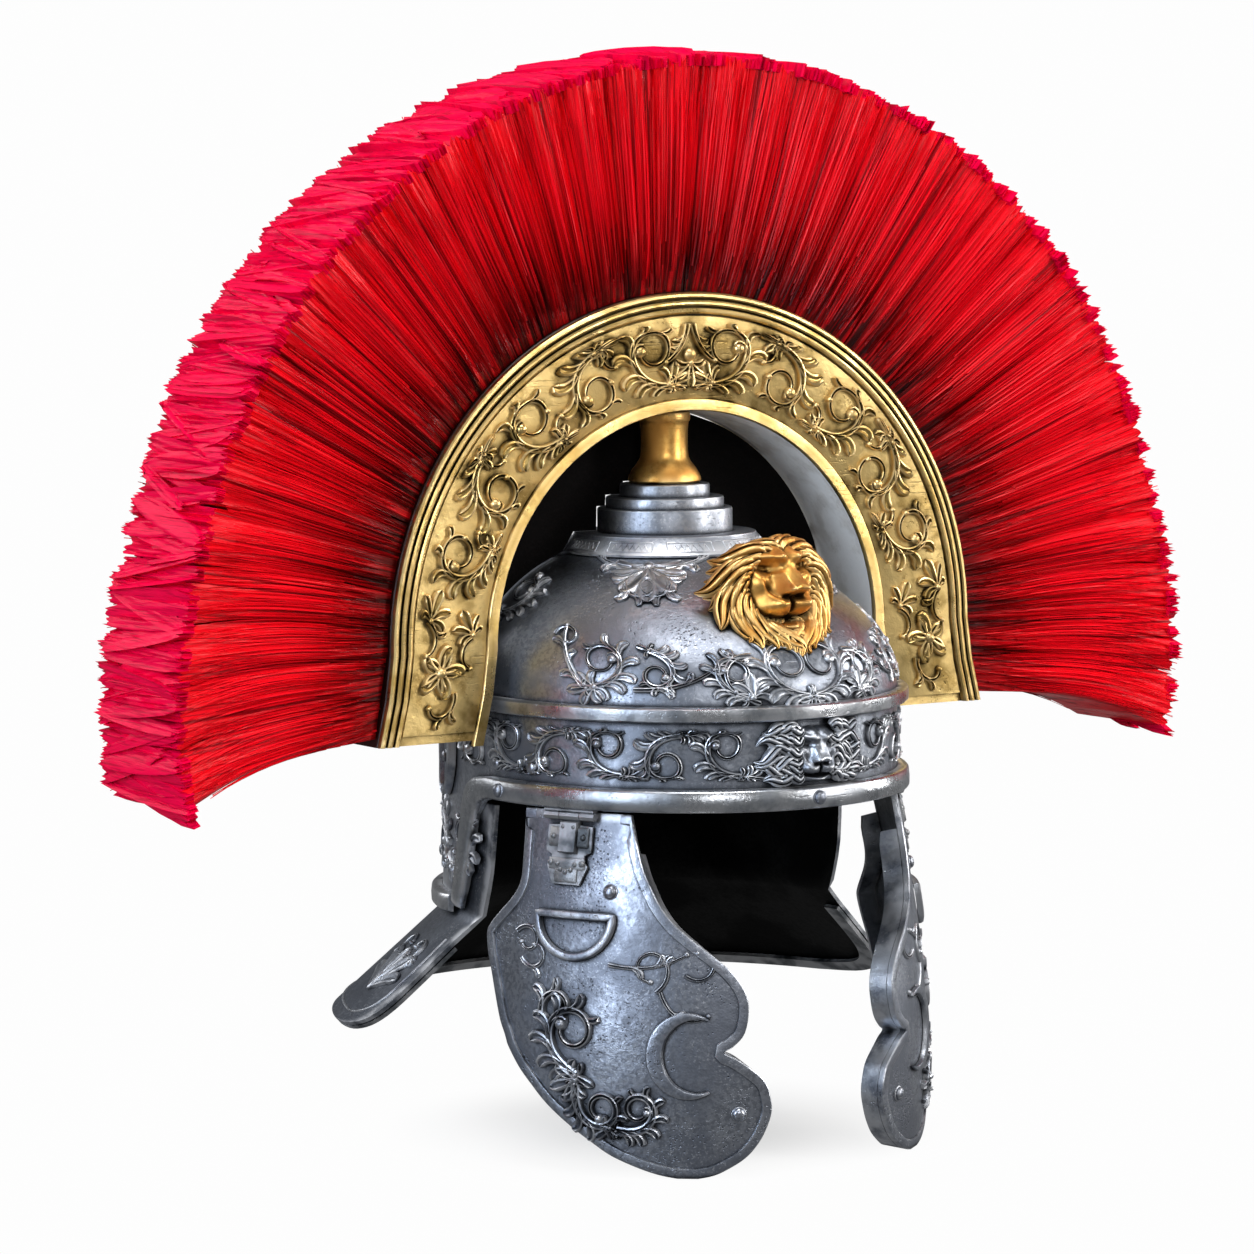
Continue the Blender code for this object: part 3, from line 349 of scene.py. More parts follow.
steel = metal("burnished steel", rgb(0.37, 0.40, 0.46), rgb(0.20, 0.22, 0.26), rgb(0.012, 0.013, 0.015),
              rgb(0.66, 0.68, 0.72), rough=0.27, mottle=38.0, pits=0.8)
# Near-black paint inside the bowl and under the neck guard stands in for the shade in the hollow
shade_black_steel = metal("painted shade inside", rgb(0.012, 0.012, 0.012), rgb(0.006, 0.006, 0.006),
                    rgb(0.002, 0.002, 0.002), rgb(0.02, 0.02, 0.02), rough=0.62, pits=0.2)


class Shape:
    """The points and faces of one piece, gathered from its parts."""

    def __init__(self):
        self.points = []
        self.faces = []
        self.inks = []

    def rows(self, rows):
        """Add rows of points and return their numbers."""
        numbered = []
        for row in rows:
            start = len(self.points)
            self.points.extend(tuple(point) for point in row)
            numbered.append(list(range(start, len(self.points))))
        return numbered

    def face(self, corners, ink=0):
        self.faces.append(tuple(corners))
        self.inks.append(ink)

    def join(self, first, second, ink=0):
        """Fill between two closed rows of point numbers."""
        for index, start in enumerate(first):
            after = (index + 1) % len(first)
            self.face((start, first[after], second[after], second[index]), ink)

    def sheet(self, grid, ink=0):
        """Fill an open grid of point numbers."""
        for first, second in zip(grid, grid[1:]):
            for column in range(len(first) - 1):
                self.face((first[column], first[column + 1], second[column + 1], second[column]), ink)

    def skin(self, sections, closed=False, ink=0):
        """Join matching closed sections one after another, and cap the ends."""
        rings = self.rows(sections)
        for first, second in zip(rings, rings[1:]):
            self.join(first, second, ink)
        if closed:
            self.join(rings[-1], rings[0], ink)
        else:
            self.face(rings[0][::-1], ink)
            self.face(rings[-1], ink)

    def slab(self, front, rear, ink=0, rear_ink=None):
        """Close two matching grids of points into one solid."""
        top, base = self.rows(front), self.rows(rear)
        self.sheet(top, ink)
        self.sheet(base, ink if rear_ink is None else rear_ink)
        outer, inner = (grid[0] + [row[-1] for row in grid[1:-1]] + grid[-1][::-1]
                        + [row[0] for row in grid[-2:0:-1]] for grid in (top, base))
        self.join(outer, inner, ink)

    def turned(self, profile, steps, centre=(0, 0, 0), axis=(0, 0, 1)):
        """Spin (radius, height) points about an axis, with a point at each end of the profile."""
        axis = Vector(axis).normalized()
        side = axis.orthogonal().normalized()
        other = axis.cross(side)
        centre = Vector(centre)
        rings = self.rows([[centre + (side * cos(2 * pi * step / steps)
                                      + other * sin(2 * pi * step / steps)) * radius + axis * height
                            for step in range(steps)] for radius, height in profile[1:-1]])
        for first, second in zip(rings, rings[1:]):
            self.join(first, second)
        ends = self.rows([[centre + axis * profile[0][1], centre + axis * profile[-1][1]]])[0]
        for index in range(steps):
            after = (index + 1) % steps
            self.face((rings[0][after], rings[0][index], ends[0]))
            self.face((rings[-1][index], rings[-1][after], ends[1]))

    def mirrored(self):
        """The same shape for the wearer's other side."""
        made = Shape()
        made.points = [(-x, y, z) for x, y, z in self.points]
        made.faces = [corners[::-1] for corners in self.faces]
        made.inks = list(self.inks)
        return made


def piece(name, shape, finishes, body, nodes=(), sharp=40):
    """Make a piece's object, and let it ride on its body in place of its CAD nodes."""
    mesh = bpy.data.meshes.new(name)
    mesh.from_pydata(shape.points, [], shape.faces)
    finishes = finishes if isinstance(finishes, (list, tuple)) else [finishes]
    for finish in finishes:
        mesh.materials.append(finish)
    mesh.polygons.foreach_set("material_index", shape.inks)
    work = bmesh.new()
    work.from_mesh(mesh)
    bmesh.ops.remove_doubles(work, verts=work.verts, dist=1e-6)
    bmesh.ops.recalc_face_normals(work, faces=work.faces)
    work.to_mesh(mesh)
    work.free()
    mesh.shade_smooth()
    mesh.set_sharp_from_angle(angle=radians(sharp))
    made = bpy.data.objects.new(name, mesh)
    bpy.context.scene.collection.objects.link(made)
    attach(made, body)
    if nodes:
        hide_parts(*nodes)


def smooth(share):
    share = min(1.0, max(0.0, share))
    return share * share * (3 - 2 * share)


def between(table, share):
    """Read a table of (share, value) rows at a share, in straight runs."""
    for (start, low), (end, high) in zip(table, table[1:]):
        if share <= end:
            return low + (high - low) * (share - start) / (end - start)
    return table[-1][1]


def plan_point(angle, out=0.0, share=1.0, roundness=0.0):
    """A point of the bowl's plan, by its angle from the brow towards the wearer's left."""
    turn = radians(angle)
    half_width = BOWL_HALF_WIDTH * share + out
    depth = (BOWL_FRONT if cos(turn) > 0 else BOWL_BACK) * share + out
    depth += (half_width - depth) * roundness
    return Vector((half_width * sin(turn), BOWL_CENTRE_Y * (1 - roundness) - depth * cos(turn), 0))


def wall_point(angle, height, out=0.0):
    """A point on the upright wall of the band and the nape, which flares a little downwards."""
    flare = (BROW_RING_HEIGHT - height) / (BROW_RING_HEIGHT + NAPE_DROP)
    point = plan_point(angle, out + NAPE_FLARE * min(1.0, max(0.0, flare)))
    point.z = height
    return point


def dome_point(angle, climb, out=0.0):
    """A point on the dome, by how many degrees it has climbed from the band to the crown."""
    rise = radians(climb)
    point = plan_point(angle, out * cos(rise), cos(rise), smooth(climb / CROWN_CLIMB))
    point.z = BAND_HEIGHT + (DOME_RISE + out) * sin(rise)
    return point


def circle_angles(step=2.5, ear_step=0.5):
    """Angles all round the bowl, closer together where the lip turns down behind each ear."""
    half = [step * index for index in range(int(90 / step) + 1)]
    half += [90 + ear_step * index for index in range(1, int(15 / ear_step) + 1)]
    half += [105 + step * index for index in range(1, int(75 / step))] + [180]
    return [-angle for angle in half[:0:-1]] + half[:-1]


bowl = Shape()
skins = []
for out, ink in ((0.0, 0), (-BOWL_WALL, 1)):
    angles = circle_angles()
    rows = [[wall_point(a, -NAPE_DROP * between(LIP, abs(a)) * (1 - share)
                        + BROW_RING_HEIGHT * share, out) for a in angles]
            for share in (0, 0.25, 0.5, 0.75, 1)]
    rows += [[dome_point(a, CROWN_CLIMB * index / 14, out) for a in angles] for index in range(20)]
    rings = bowl.rows(rows)
    for first, second in zip(rings, rings[1:]):
        bowl.join(first, second, ink)
    bowl.face(rings[-1], ink)
    skins.append(rings[0])
bowl.join(*skins)
piece("skull_bowl_sheet", bowl, [steel, shade_black_steel], "helmet", ["skull_bowl"])

# Rings and ledge
# Two rolled steel hoops run round the bowl: one at the foot of the dome and a broad one over
# the brow, which turns down behind each ear. A thick ledge closes the foot of the nape.
RING_PROUD = 0.0055
UPPER_RING_HEIGHT = 0.0076
NAPE_EDGE_PROUD = 0.0036
LEDGE_HEIGHT = 0.009
LEDGE_PROUD = 0.0055
NAPE_EDGE = ((92.5, 94.0, 0.02, -0.165), (95.5, 98.0, 0.08, -0.135), (97.2, 101.5, 0.20, -0.03),
             (98.8, 103.2, 0.44, 0.22), (100.6, 105.0, 0.72, 0.55), (103.0, 106.9, 0.97, 0.93))
RING_OUTLINE = ((0.0, 0.0), (0.0, 0.62), (0.045, 0.86), (0.13, 1.0), (0.5, 1.04), (0.87, 1.0),
                (0.955, 0.86), (1.0, 0.62), (1.0, 0.0))

ring_steel = metal("polished ring", rgb(0.42, 0.44, 0.47), rgb(0.26, 0.28, 0.31), rgb(0.012, 0.012, 0.014),
                   rgb(0.86, 0.87, 0.90), rough=0.22, reach=0.004, pits=0.4)


def ring_section(low, high, proud):
    """A rolled band's section on the wall, between two (angle, height) places."""
    return [wall_point(low[0] + (high[0] - low[0]) * share, low[1] + (high[1] - low[1]) * share,
                       max(GAP, proud * rise)) for share, rise in RING_OUTLINE]


def refined(rows, parts):
    """Fill in rows of numbers with a smooth curve through them."""
    made = []
    for index in range(len(rows) - 1):
        before, start = rows[max(0, index - 1)], rows[index]
        end, after = rows[index + 1], rows[min(len(rows) - 1, index + 2)]
        for part in range(parts):
            t = part / parts
            made.append(tuple(0.5 * (2 * b + (c - a) * t + (2 * a - 5 * b + 4 * c - d) * t * t
                                     + (3 * b - a - 3 * c + d) * t ** 3)
                              for a, b, c, d in zip(before, start, end, after)))
    return made + [tuple(rows[-1])]


upper = Shape()
upper.skin([ring_section((angle, BAND_HEIGHT - UPPER_RING_HEIGHT), (angle, BAND_HEIGHT - GAP), RING_PROUD)
            for angle in circle_angles(2.5, 2.5)], closed=True)
piece("upper_ring_hoop", upper, ring_steel, "helmet", ["upper_ring"])

brow = Shape()
front = [(angle, angle, 0.0, -BROW_RING_HEIGHT / NAPE_DROP) for angle in range(-90, 91, 3)]
ends = [tuple(row) for row in NAPE_EDGE]
left = refined([front[-1]] + ends, 5)[1:]
right = [(-low, -high, drop, rise) for low, high, drop, rise in left[::-1]]
sections = []
for low, high, drop, rise in right + front + left:
    past_ear = smooth((abs(low) - 84) / 14)
    proud = RING_PROUD + (NAPE_EDGE_PROUD - RING_PROUD) * past_ear
    sections.append(ring_section((low, -NAPE_DROP * drop), (high, -NAPE_DROP * rise), proud))
brow.skin(sections)
piece("brow_ring_hoop", brow, ring_steel, "helmet", ["brow_ring"])

ledge = Shape()
ledge.skin([ring_section((angle, -NAPE_DROP - LEDGE_HEIGHT / 3), (angle, -NAPE_DROP + LEDGE_HEIGHT * 2 / 3),
                         LEDGE_PROUD * min(1.0, 0.55 + 0.15 * min(angle - 109, 251 - angle)))
            for angle in [109 + 2 * index for index in range(72)]])
piece("neck_ledge_roll", ledge, ring_steel, "helmet", ["neck_ledge"])

# Neck guard
# The neck guard is a second sheet, riveted inside the nape wall, which bends out below the
# ledge and falls to a wide level edge. Its border is doubled, with a bead chased inside it.
NECK_CLEARANCE = 0.0006
NECK_WALL = 0.002
NECK_REACH = 0.056
NECK_FALL = 0.051
NECK_START = 0.0055
EDGING_CLEARANCE = 0.0007
NECK_EDGE_DEPTH = 0.002
NECK_UPRIGHT = ((0.07, 91.0), (0.65, 92.6), (1.02, 95.5))
NECK_FLARED = ((0.0, 98.0), (0.18, 99.0), (0.53, 100.0), (0.75, 101.0), (0.89, 103.5),
               (0.97, 108.5), (1.0, 116.0))
NECK_EDGE = ((99.0, 0.18, 102.8, 0.18), (100.0, 0.53, 103.0, 0.52), (101.0, 0.75, 103.8, 0.70),
             (103.5, 0.89, 106.0, 0.82), (108.5, 0.97, 110.2, 0.88), (116.0, 1.0, 116.8, 0.91))
NECK_COLUMNS = 60

neck_steel = metal("dull neck steel", rgb(0.13, 0.145, 0.175), rgb(0.07, 0.08, 0.10),
                   rgb(0.012, 0.013, 0.015), rgb(0.60, 0.62, 0.66), rough=0.36, mottle=26.0, pits=0.7)
dark_steel = metal("darkened steel", rgb(0.16, 0.17, 0.185), rgb(0.09, 0.10, 0.11),
                   rgb(0.008, 0.008, 0.009), rgb(0.45, 0.46, 0.48), rough=0.38)


def neck_flare_point(angle, share, depth=0.0):
    """A point on the flared part's upper face, or that far below it."""
    slope = Vector((NECK_REACH, -NECK_FALL)).normalized()
    height = -NAPE_DROP - NECK_START - NECK_FALL * share
    return wall_point(angle, height - slope.x * depth, NECK_REACH * share + slope.y * depth)


def neck_columns(end, columns=NECK_COLUMNS):
    return [end + (360 - 2 * end) * index / columns for index in range(columns + 1)]


neck = Shape()
inner = -BOWL_WALL - NECK_CLEARANCE
top, under = [], []
for share, end in refined(NECK_UPRIGHT, 3):
    top.append([wall_point(a, -NAPE_DROP * share, inner) for a in neck_columns(end)])
    under.append([wall_point(a, -NAPE_DROP * share, inner - NECK_WALL) for a in neck_columns(end)])
flared = refined(NECK_FLARED, 4)
for share, end in flared:
    top.append([neck_flare_point(a, share) for a in neck_columns(end)])
    under.append([neck_flare_point(a, share, NECK_WALL) for a in neck_columns(end)])
# The underside takes the near-black painted shade
neck.slab(top, under, 0, 1)
piece("neck_guard_sheet", neck, [neck_steel, shade_black_steel], "helmet", ["neck_guard"])

edge_rows = refined(NECK_EDGE, 4)
edge_rows += [(angle, 1.0, angle, 0.91) for angle in neck_columns(116.0)[1:-1]]
edge_rows += [(360 - edge, share, 360 - inside, inset)
              for edge, share, inside, inset in refined(NECK_EDGE, 4)[::-1]]
seat = NECK_WALL + EDGING_CLEARANCE
edging = Shape()
edging.skin([[neck_flare_point(edge, share, seat), neck_flare_point(edge, share, seat + NECK_EDGE_DEPTH),
              neck_flare_point(inside, inset, seat + NECK_EDGE_DEPTH),
              neck_flare_point(inside, inset, seat)] for edge, share, inside, inset in edge_rows])
piece("neck_edging_strip", edging, dark_steel, "helmet", ["neck_edging"])

# Crown boss and crest post
# The crown boss is a cast steel skirt with three turned steps, riveted over the top of the
# bowl. The crest post stands on it: a turned brass waist, gilded, that carries the arch.
STEP_RADII = (0.0222, 0.0291, 0.0333, 0.0451)
STEP_HEIGHTS = (0.0063, 0.0054, 0.0118)
CROWN_TOP = 0.1475
POST_FOOT_RADIUS = 0.0180
POST_HEAD_RADIUS = 0.0128
ARCH_CENTRE_Z = 0.0735
ARCH_INNER = 0.1103
ROUNDING = 0.0011

gold = metal("warm gilding", rgb(0.80, 0.47, 0.13), rgb(0.62, 0.30, 0.07), rgb(0.030, 0.012, 0.004),
             rgb(0.98, 0.70, 0.30), rough=0.33, reach=0.0040, mottle=46.0, pits=0.05, hammered=0.15)
crown_steel = metal("cast crown steel", rgb(0.38, 0.40, 0.44), rgb(0.23, 0.25, 0.29),
                    rgb(0.012, 0.012, 0.014), rgb(0.80, 0.82, 0.85), rough=0.30, reach=0.0045)

crown = Shape()
heights = [CROWN_TOP]
for step in STEP_HEIGHTS:
    heights.append(heights[-1] - step)
seat = BAND_HEIGHT + (DOME_RISE + GAP) * sin(radians(CROWN_CLIMB))
profile = [(0, heights[0])]
for radius, top_height, foot in zip(STEP_RADII, heights, heights[1:] + [seat + 0.0012]):
    profile += [(radius - ROUNDING, top_height), (radius - ROUNDING * 0.3, top_height - ROUNDING * 0.3),
                (radius, top_height - ROUNDING)]
    profile.append((CROWN_RADIUS + 0.0008 if radius == STEP_RADII[-1] else radius, foot))
for climb in (0, 0.24, 0.6):
    angle = radians(CROWN_CLIMB + (90 - CROWN_CLIMB) * climb)
    profile.append(((BOWL_HALF_WIDTH + GAP) * cos(angle) + 0.0002,
                    BAND_HEIGHT + (DOME_RISE + GAP) * sin(angle) + 0.0002))
profile.append((0, BAND_HEIGHT + DOME_RISE + GAP))
crown.turned(profile, 96)
piece("crown_boss", crown, crown_steel, "helmet", ["crown_steps"])

post = Shape()
post_foot = CROWN_TOP + GAP
post_head = ARCH_CENTRE_Z + sqrt(ARCH_INNER ** 2 - POST_HEAD_RADIUS ** 2) * cos(radians(5)) - GAP
POST_OUTLINE = ((0, 0.93), (0.03, 1.0), (0.08, 0.99), (0.14, 0.94), (0.20, 0.87), (0.26, 0.78),
                (0.31, 0.71), (0.36, 0.665), (0.45, 0.645), (0.60, 0.64), (0.74, 0.645), (0.82, 0.66),
                (0.86, 0.67), (0.875, 0.70), (0.90, 0.715), (0.97, 0.715), (1.0, 0.70))
profile = [(0, post_foot)]
profile += [(POST_FOOT_RADIUS * radius, post_foot + (post_head - post_foot) * share)
            for share, radius in POST_OUTLINE]
profile.append((0, post_head))
post.turned(profile, 64)
piece("crest_post_turning", post, gold, "helmet", ["crest_post"], sharp=50)

# Crest arch
# The crest box is an arch with a satin steel soffit between two cast brass faces. Each face has
# a matt field with raised scrolls, a bright inner strip and a three-bead outer moulding.
STRIP_WIDTH = 0.0059
FIELD_WIDTH = 0.0410
MOULDING_WIDTH = 0.0109
ARCH_LEG = 0.0430
STRIP_LEG = 0.0455
FIELD_LEG = 0.0385
LEG_FLARE = 0.0080
BOX_HALF_DEPTH = 0.0205
PLATE_THICKNESS = 0.0015
MOULDING_PROUD = 0.0032
BOARD_THICKNESS = 0.011
ARCH_STEP = 2
KNEE = 0.5
KNEE_FLARE = 0.36
STRIP_OUTER = ARCH_INNER + STRIP_WIDTH
FIELD_OUTER = STRIP_OUTER + FIELD_WIDTH
ARCH_OUTER = FIELD_OUTER + MOULDING_WIDTH
BOARD_INNER = ARCH_OUTER - BOARD_THICKNESS
FIELD_MIDDLE = STRIP_OUTER + FIELD_WIDTH / 2

field_brass = metal("matt field brass", rgb(0.50, 0.345, 0.125), rgb(0.33, 0.22, 0.07),
                    rgb(0.014, 0.009, 0.003), rgb(0.78, 0.58, 0.25), rough=0.38, reach=0.0075, mottle=44.0,
                    pits=1.0, hammered=0.55)
bright_brass = metal("bright bead brass", rgb(0.60, 0.42, 0.15), rgb(0.44, 0.29, 0.09),
                     rgb(0.008, 0.005, 0.002), rgb(0.88, 0.66, 0.32), rough=0.24, reach=0.0030, mottle=50.0,
                     pits=0.3, hammered=0.2)
relief_brass = metal("raised scroll brass", rgb(0.62, 0.44, 0.16), rgb(0.44, 0.29, 0.09),
                     rgb(0.008, 0.005, 0.002), rgb(0.95, 0.72, 0.36), rough=0.27, reach=0.0030, pits=0.1,
                     hammered=0.15)
satin_steel = metal("satin soffit", rgb(0.80, 0.78, 0.74), rgb(0.66, 0.64, 0.60),
                    rgb(0.20, 0.19, 0.18), rgb(0.9, 0.9, 0.88), rough=0.50, pits=0.1, hammered=0.2,
                    metallic=0.1)


def leg_flare(drop):
    """How far a leg leans out, a certain drop below the arch's centre."""
    knee = ARCH_LEG * KNEE
    if drop <= knee:
        return LEG_FLARE * KNEE_FLARE * drop / knee
    return LEG_FLARE * (KNEE_FLARE + (1 - KNEE_FLARE) * (drop - knee) / (ARCH_LEG - knee))


def arch_point(turn, drop, radius, y):
    """A point at a radius of the arch: a turn from the top, or a drop down one of the legs."""
    if drop > 0:
        return Vector(((radius + leg_flare(drop)) * (1 if turn > 0 else -1), y, ARCH_CENTRE_Z - drop))
    return Vector((radius * sin(radians(turn)), y, ARCH_CENTRE_Z + radius * cos(radians(turn))))


def arch_stations(leg):
    drops = [leg * share for share in (1, 0.75)] + [ARCH_LEG * KNEE, ARCH_LEG * KNEE / 2]
    stations = [(-90, drop) for drop in drops]
    stations += [(index * ARCH_STEP - 90, 0) for index in range(180 // ARCH_STEP + 1)]
    return stations + [(90, drop) for drop in drops[::-1]]


def arch_sweep(shape, profile, leg):
    """Sweep a profile of (radius, y) points along the arch and down both legs."""
    shape.skin([[arch_point(turn, drop, radius, y) for radius, y in profile]
                for turn, drop in arch_stations(leg)])


box = Shape()
arch_sweep(box, [(ARCH_INNER, -BOX_HALF_DEPTH), (BOARD_INNER - GAP, -BOX_HALF_DEPTH),
                 (BOARD_INNER - GAP, BOX_HALF_DEPTH), (ARCH_INNER, BOX_HALF_DEPTH)], ARCH_LEG)
# Each stretch of the box has four faces, and the last of them is the soffit
box.inks = [0 if index % 4 == 3 else 1 for index in range(len(box.inks))]
piece("crest_box_core", box, [satin_steel, field_brass], "helmet", ["crest_box"])

# The moulding's outline as (share of its width, share of how far it stands proud)
BEADS = ((0.0, 0.30), (0.03, 0.72), (0.10, 0.96), (0.19, 1.0), (0.27, 0.86), (0.30, 0.36),
         (0.35, 0.34), (0.38, 0.80), (0.46, 0.95), (0.54, 0.94), (0.62, 0.78), (0.65, 0.34),
         (0.70, 0.32), (0.73, 0.74), (0.80, 0.92), (0.90, 0.92), (0.97, 0.70), (1.0, 0.30))
STRIP_EDGE = ((0.0, 0.55), (0.08, 0.75), (0.5, 0.78), (0.92, 0.75), (1.0, 0.55))
PLATE_EDGE = ((0.0, 0.75), (0.012, 1.0), (0.985, 1.0))


def face_profile(side, inner, width, outline, proud):
    """A profile on one face of the box, from its seat out to the given outline."""
    seat = BOX_HALF_DEPTH + GAP
    points = [(inner, side * seat)]
    points += [(inner + width * share, side * (seat + proud * rise)) for share, rise in outline]
    return points + [(inner + width, side * seat)]


for side, label in ((-1, "front"), (1, "back")):
    plate = Shape()
    arch_sweep(plate, face_profile(side, STRIP_OUTER + GAP, FIELD_WIDTH - 2 * GAP, PLATE_EDGE,
                                   PLATE_THICKNESS), FIELD_LEG)
    piece("crest_field_" + label, plate, field_brass, "helmet", ["crest_plate_" + label])
    moulding = Shape()
    arch_sweep(moulding, face_profile(side, FIELD_OUTER, MOULDING_WIDTH, BEADS, MOULDING_PROUD), ARCH_LEG)
    piece("crest_moulding_" + label, moulding, bright_brass, "helmet",
          ["outer_moulding_" + label], sharp=28)
    strip = Shape()
    arch_sweep(strip, face_profile(side, ARCH_INNER, STRIP_WIDTH, STRIP_EDGE, MOULDING_PROUD), STRIP_LEG)
    piece("crest_strip_" + label, strip, bright_brass, "helmet", ["inner_moulding_" + label])

# Scrollwork on the arch
# Acanthus scrolls are cast proud of the field and chased: each stem and leaf has two bright
# rims with a groove between them, and black patina with painted shade darkens the ground where they meet
# it.
MM = 0.001
RIM_SECTION = ((-1.0, -0.5), (-1.0, 0.35), (-0.82, 0.88), (-0.52, 1.0), (-0.22, 0.62), (0.0, 0.52),
               (0.22, 0.62), (0.52, 1.0), (0.82, 0.88), (1.0, 0.35), (1.0, -0.5))
ROUND_SECTION = ((-1.0, -0.5), (-0.94, 0.34), (-0.5, 0.87), (0.0, 1.0), (0.5, 0.87), (0.94, 0.34),
                 (1.0, -0.5))


def stem(shape, surface, path, widths, rise, section=RIM_SECTION):
    """Raise a stem along a path of (u, v) places, as wide as given at each."""
    sections = []
    for index, (u, v) in enumerate(path):
        before, after = path[max(0, index - 1)], path[min(len(path) - 1, index + 1)]
        along = Vector((after[0] - before[0], after[1] - before[1])).normalized()
        width = widths[index]
        lift = rise * min(1.0, 0.35 + width / 0.0016)
        sections.append([surface(u - along.y * width * a, v + along.x * width * a, lift * b)
                         for a, b in section])
    shape.skin(sections)


def tendril_path(u, v, heading, length, turn, tight, steps):
    """A path that turns more and more along its length, and each point's heading."""
    path, headings = [], []
    for index in range(steps + 1):
        share = index / steps
        angle = heading + turn * share ** tight
        path.append((u, v))
        headings.append(angle)
        u += cos(radians(angle)) * length / steps
        v += sin(radians(angle)) * length / steps
    return path, headings


def bud(shape, surface, u, v, radius, rise):
    """A small round boss, in metres."""
    rings = [[surface(u + radius * spread * cos(2 * pi * step / 12),
                      v + radius * spread * sin(2 * pi * step / 12), rise * lift) for step in range(12)]
             for spread, lift in ((1.0, -0.4), (1.0, 0.25), (0.86, 0.62), (0.55, 0.92), (0.2, 1.03))]
    shape.skin(rings)


def leaf(shape, surface, u, v, heading, length, turn, rise, plump=0.22):
    """A lobe that swells towards a rounded, curled tip, in millimetres and degrees."""
    steps = max(7, int(length * 0.65))
    path, _ = tendril_path(u * MM, v * MM, heading, length * MM, turn, 1.8, steps)
    widths = []
    for index in range(steps + 1):
        share = index / steps
        tip = sqrt(max(0.03, 1 - max(0.0, (share - 0.76) / 0.24) ** 2))
        widths.append(length * MM * plump * (0.28 + 0.72 * sin(pi * 0.62 * share)) * tip)
    stem(shape, surface, path, widths, rise)


def spray(shape, surface, u, v, heading, size, rise, lobes=5):
    """A fan of lobes from one place: the middle one longest, the outer ones curled back."""
    for index in range(lobes):
        side = 2 * index / (lobes - 1) - 1
        leaf(shape, surface, u, v, heading + side * 72, size * (1 - 0.30 * abs(side)), side * 110, rise)
    bud(shape, surface, u * MM, v * MM, size * 0.12 * MM, rise * 1.4)


def tendril(shape, surface, u, v, heading, length, turn, width=1.5, tight=1.6, leaves=(), tip=1.5,
            rise=0.0018):
    """A scrolling stem that tapers, in millimetres and degrees, with pairs of leaves and a bud
    at its tip. Leaves are (share along the stem, side, length)."""
    steps = max(10, int(length * 0.7))
    path, headings = tendril_path(u * MM, v * MM, heading, length * MM, turn, tight, steps)
    widths = [width * MM * (1 - 0.45 * index / steps) for index in range(steps + 1)]
    stem(shape, surface, path, widths, rise)
    for share, side, reach in leaves:
        for late, splay, size in ((0.0, 14, 1.0), (0.07, 30, 0.62)):
            index = min(steps, int((share + late) * steps))
            leaf(shape, surface, path[index][0] / MM, path[index][1] / MM, headings[index] + side * splay,
                 reach * size, side * 125, rise * 0.94)
    if tip:
        bud(shape, surface, path[-1][0], path[-1][1], tip * MM, rise * 1.25)


# Where the lobes sit along a coil, and how long they are, as shares of its length
COIL_LOBES = ((0.03, 0.17), (0.12, 0.18), (0.21, 0.18), (0.30, 0.17), (0.40, 0.15), (0.50, 0.13),
              (0.61, 0.10))


def scroll(shape, surface, u, v, heading, side, size, width, rise):
    """A coil that winds up to a boss, with lobes all along its outer side."""
    steps = int(size * 0.7)
    path, headings = tendril_path(u * MM, v * MM, heading, size * MM, side * 450, 1.6, steps)
    widths = [width * MM * (1.25 - 0.85 * index / steps) for index in range(steps + 1)]
    stem(shape, surface, path, widths, rise)
    for share, reach in COIL_LOBES:
        index = int(share * steps)
        leaf(shape, surface, path[index][0] / MM, path[index][1] / MM, headings[index] - side * 20,
             size * reach, -side * 120, rise)
    index = int(0.36 * steps)
    leaf(shape, surface, path[index][0] / MM, path[index][1] / MM, headings[index] + side * 24, size * 0.12,
         side * 130, rise)
    bud(shape, surface, path[-1][0], path[-1][1], size * 0.034 * MM, rise * 1.5)
    spray(shape, surface, u, v, heading + 180, size * 0.12, rise * 1.1, 3)


FIELD_REACH = 0.0190


def held(distance, limit):
    """Ease a distance off, so that it never passes a limit."""
    return distance / (1 + (distance / limit) ** 4) ** 0.25


def arch_surface(side, mirror):
    """The field of one face, u along it from the top and v outwards from its middle."""
    def surface(u, v, out):
        v = held(v, FIELD_REACH)
        turn = degrees(abs(u) / FIELD_MIDDLE) * (1 if u * mirror >= 0 else -1)
        drop = abs(u) - FIELD_MIDDLE * pi / 2
        y = side * (BOX_HALF_DEPTH + GAP + PLATE_THICKNESS + out)
        return arch_point(turn, max(0.0, drop), FIELD_MIDDLE + v, y)
    return surface


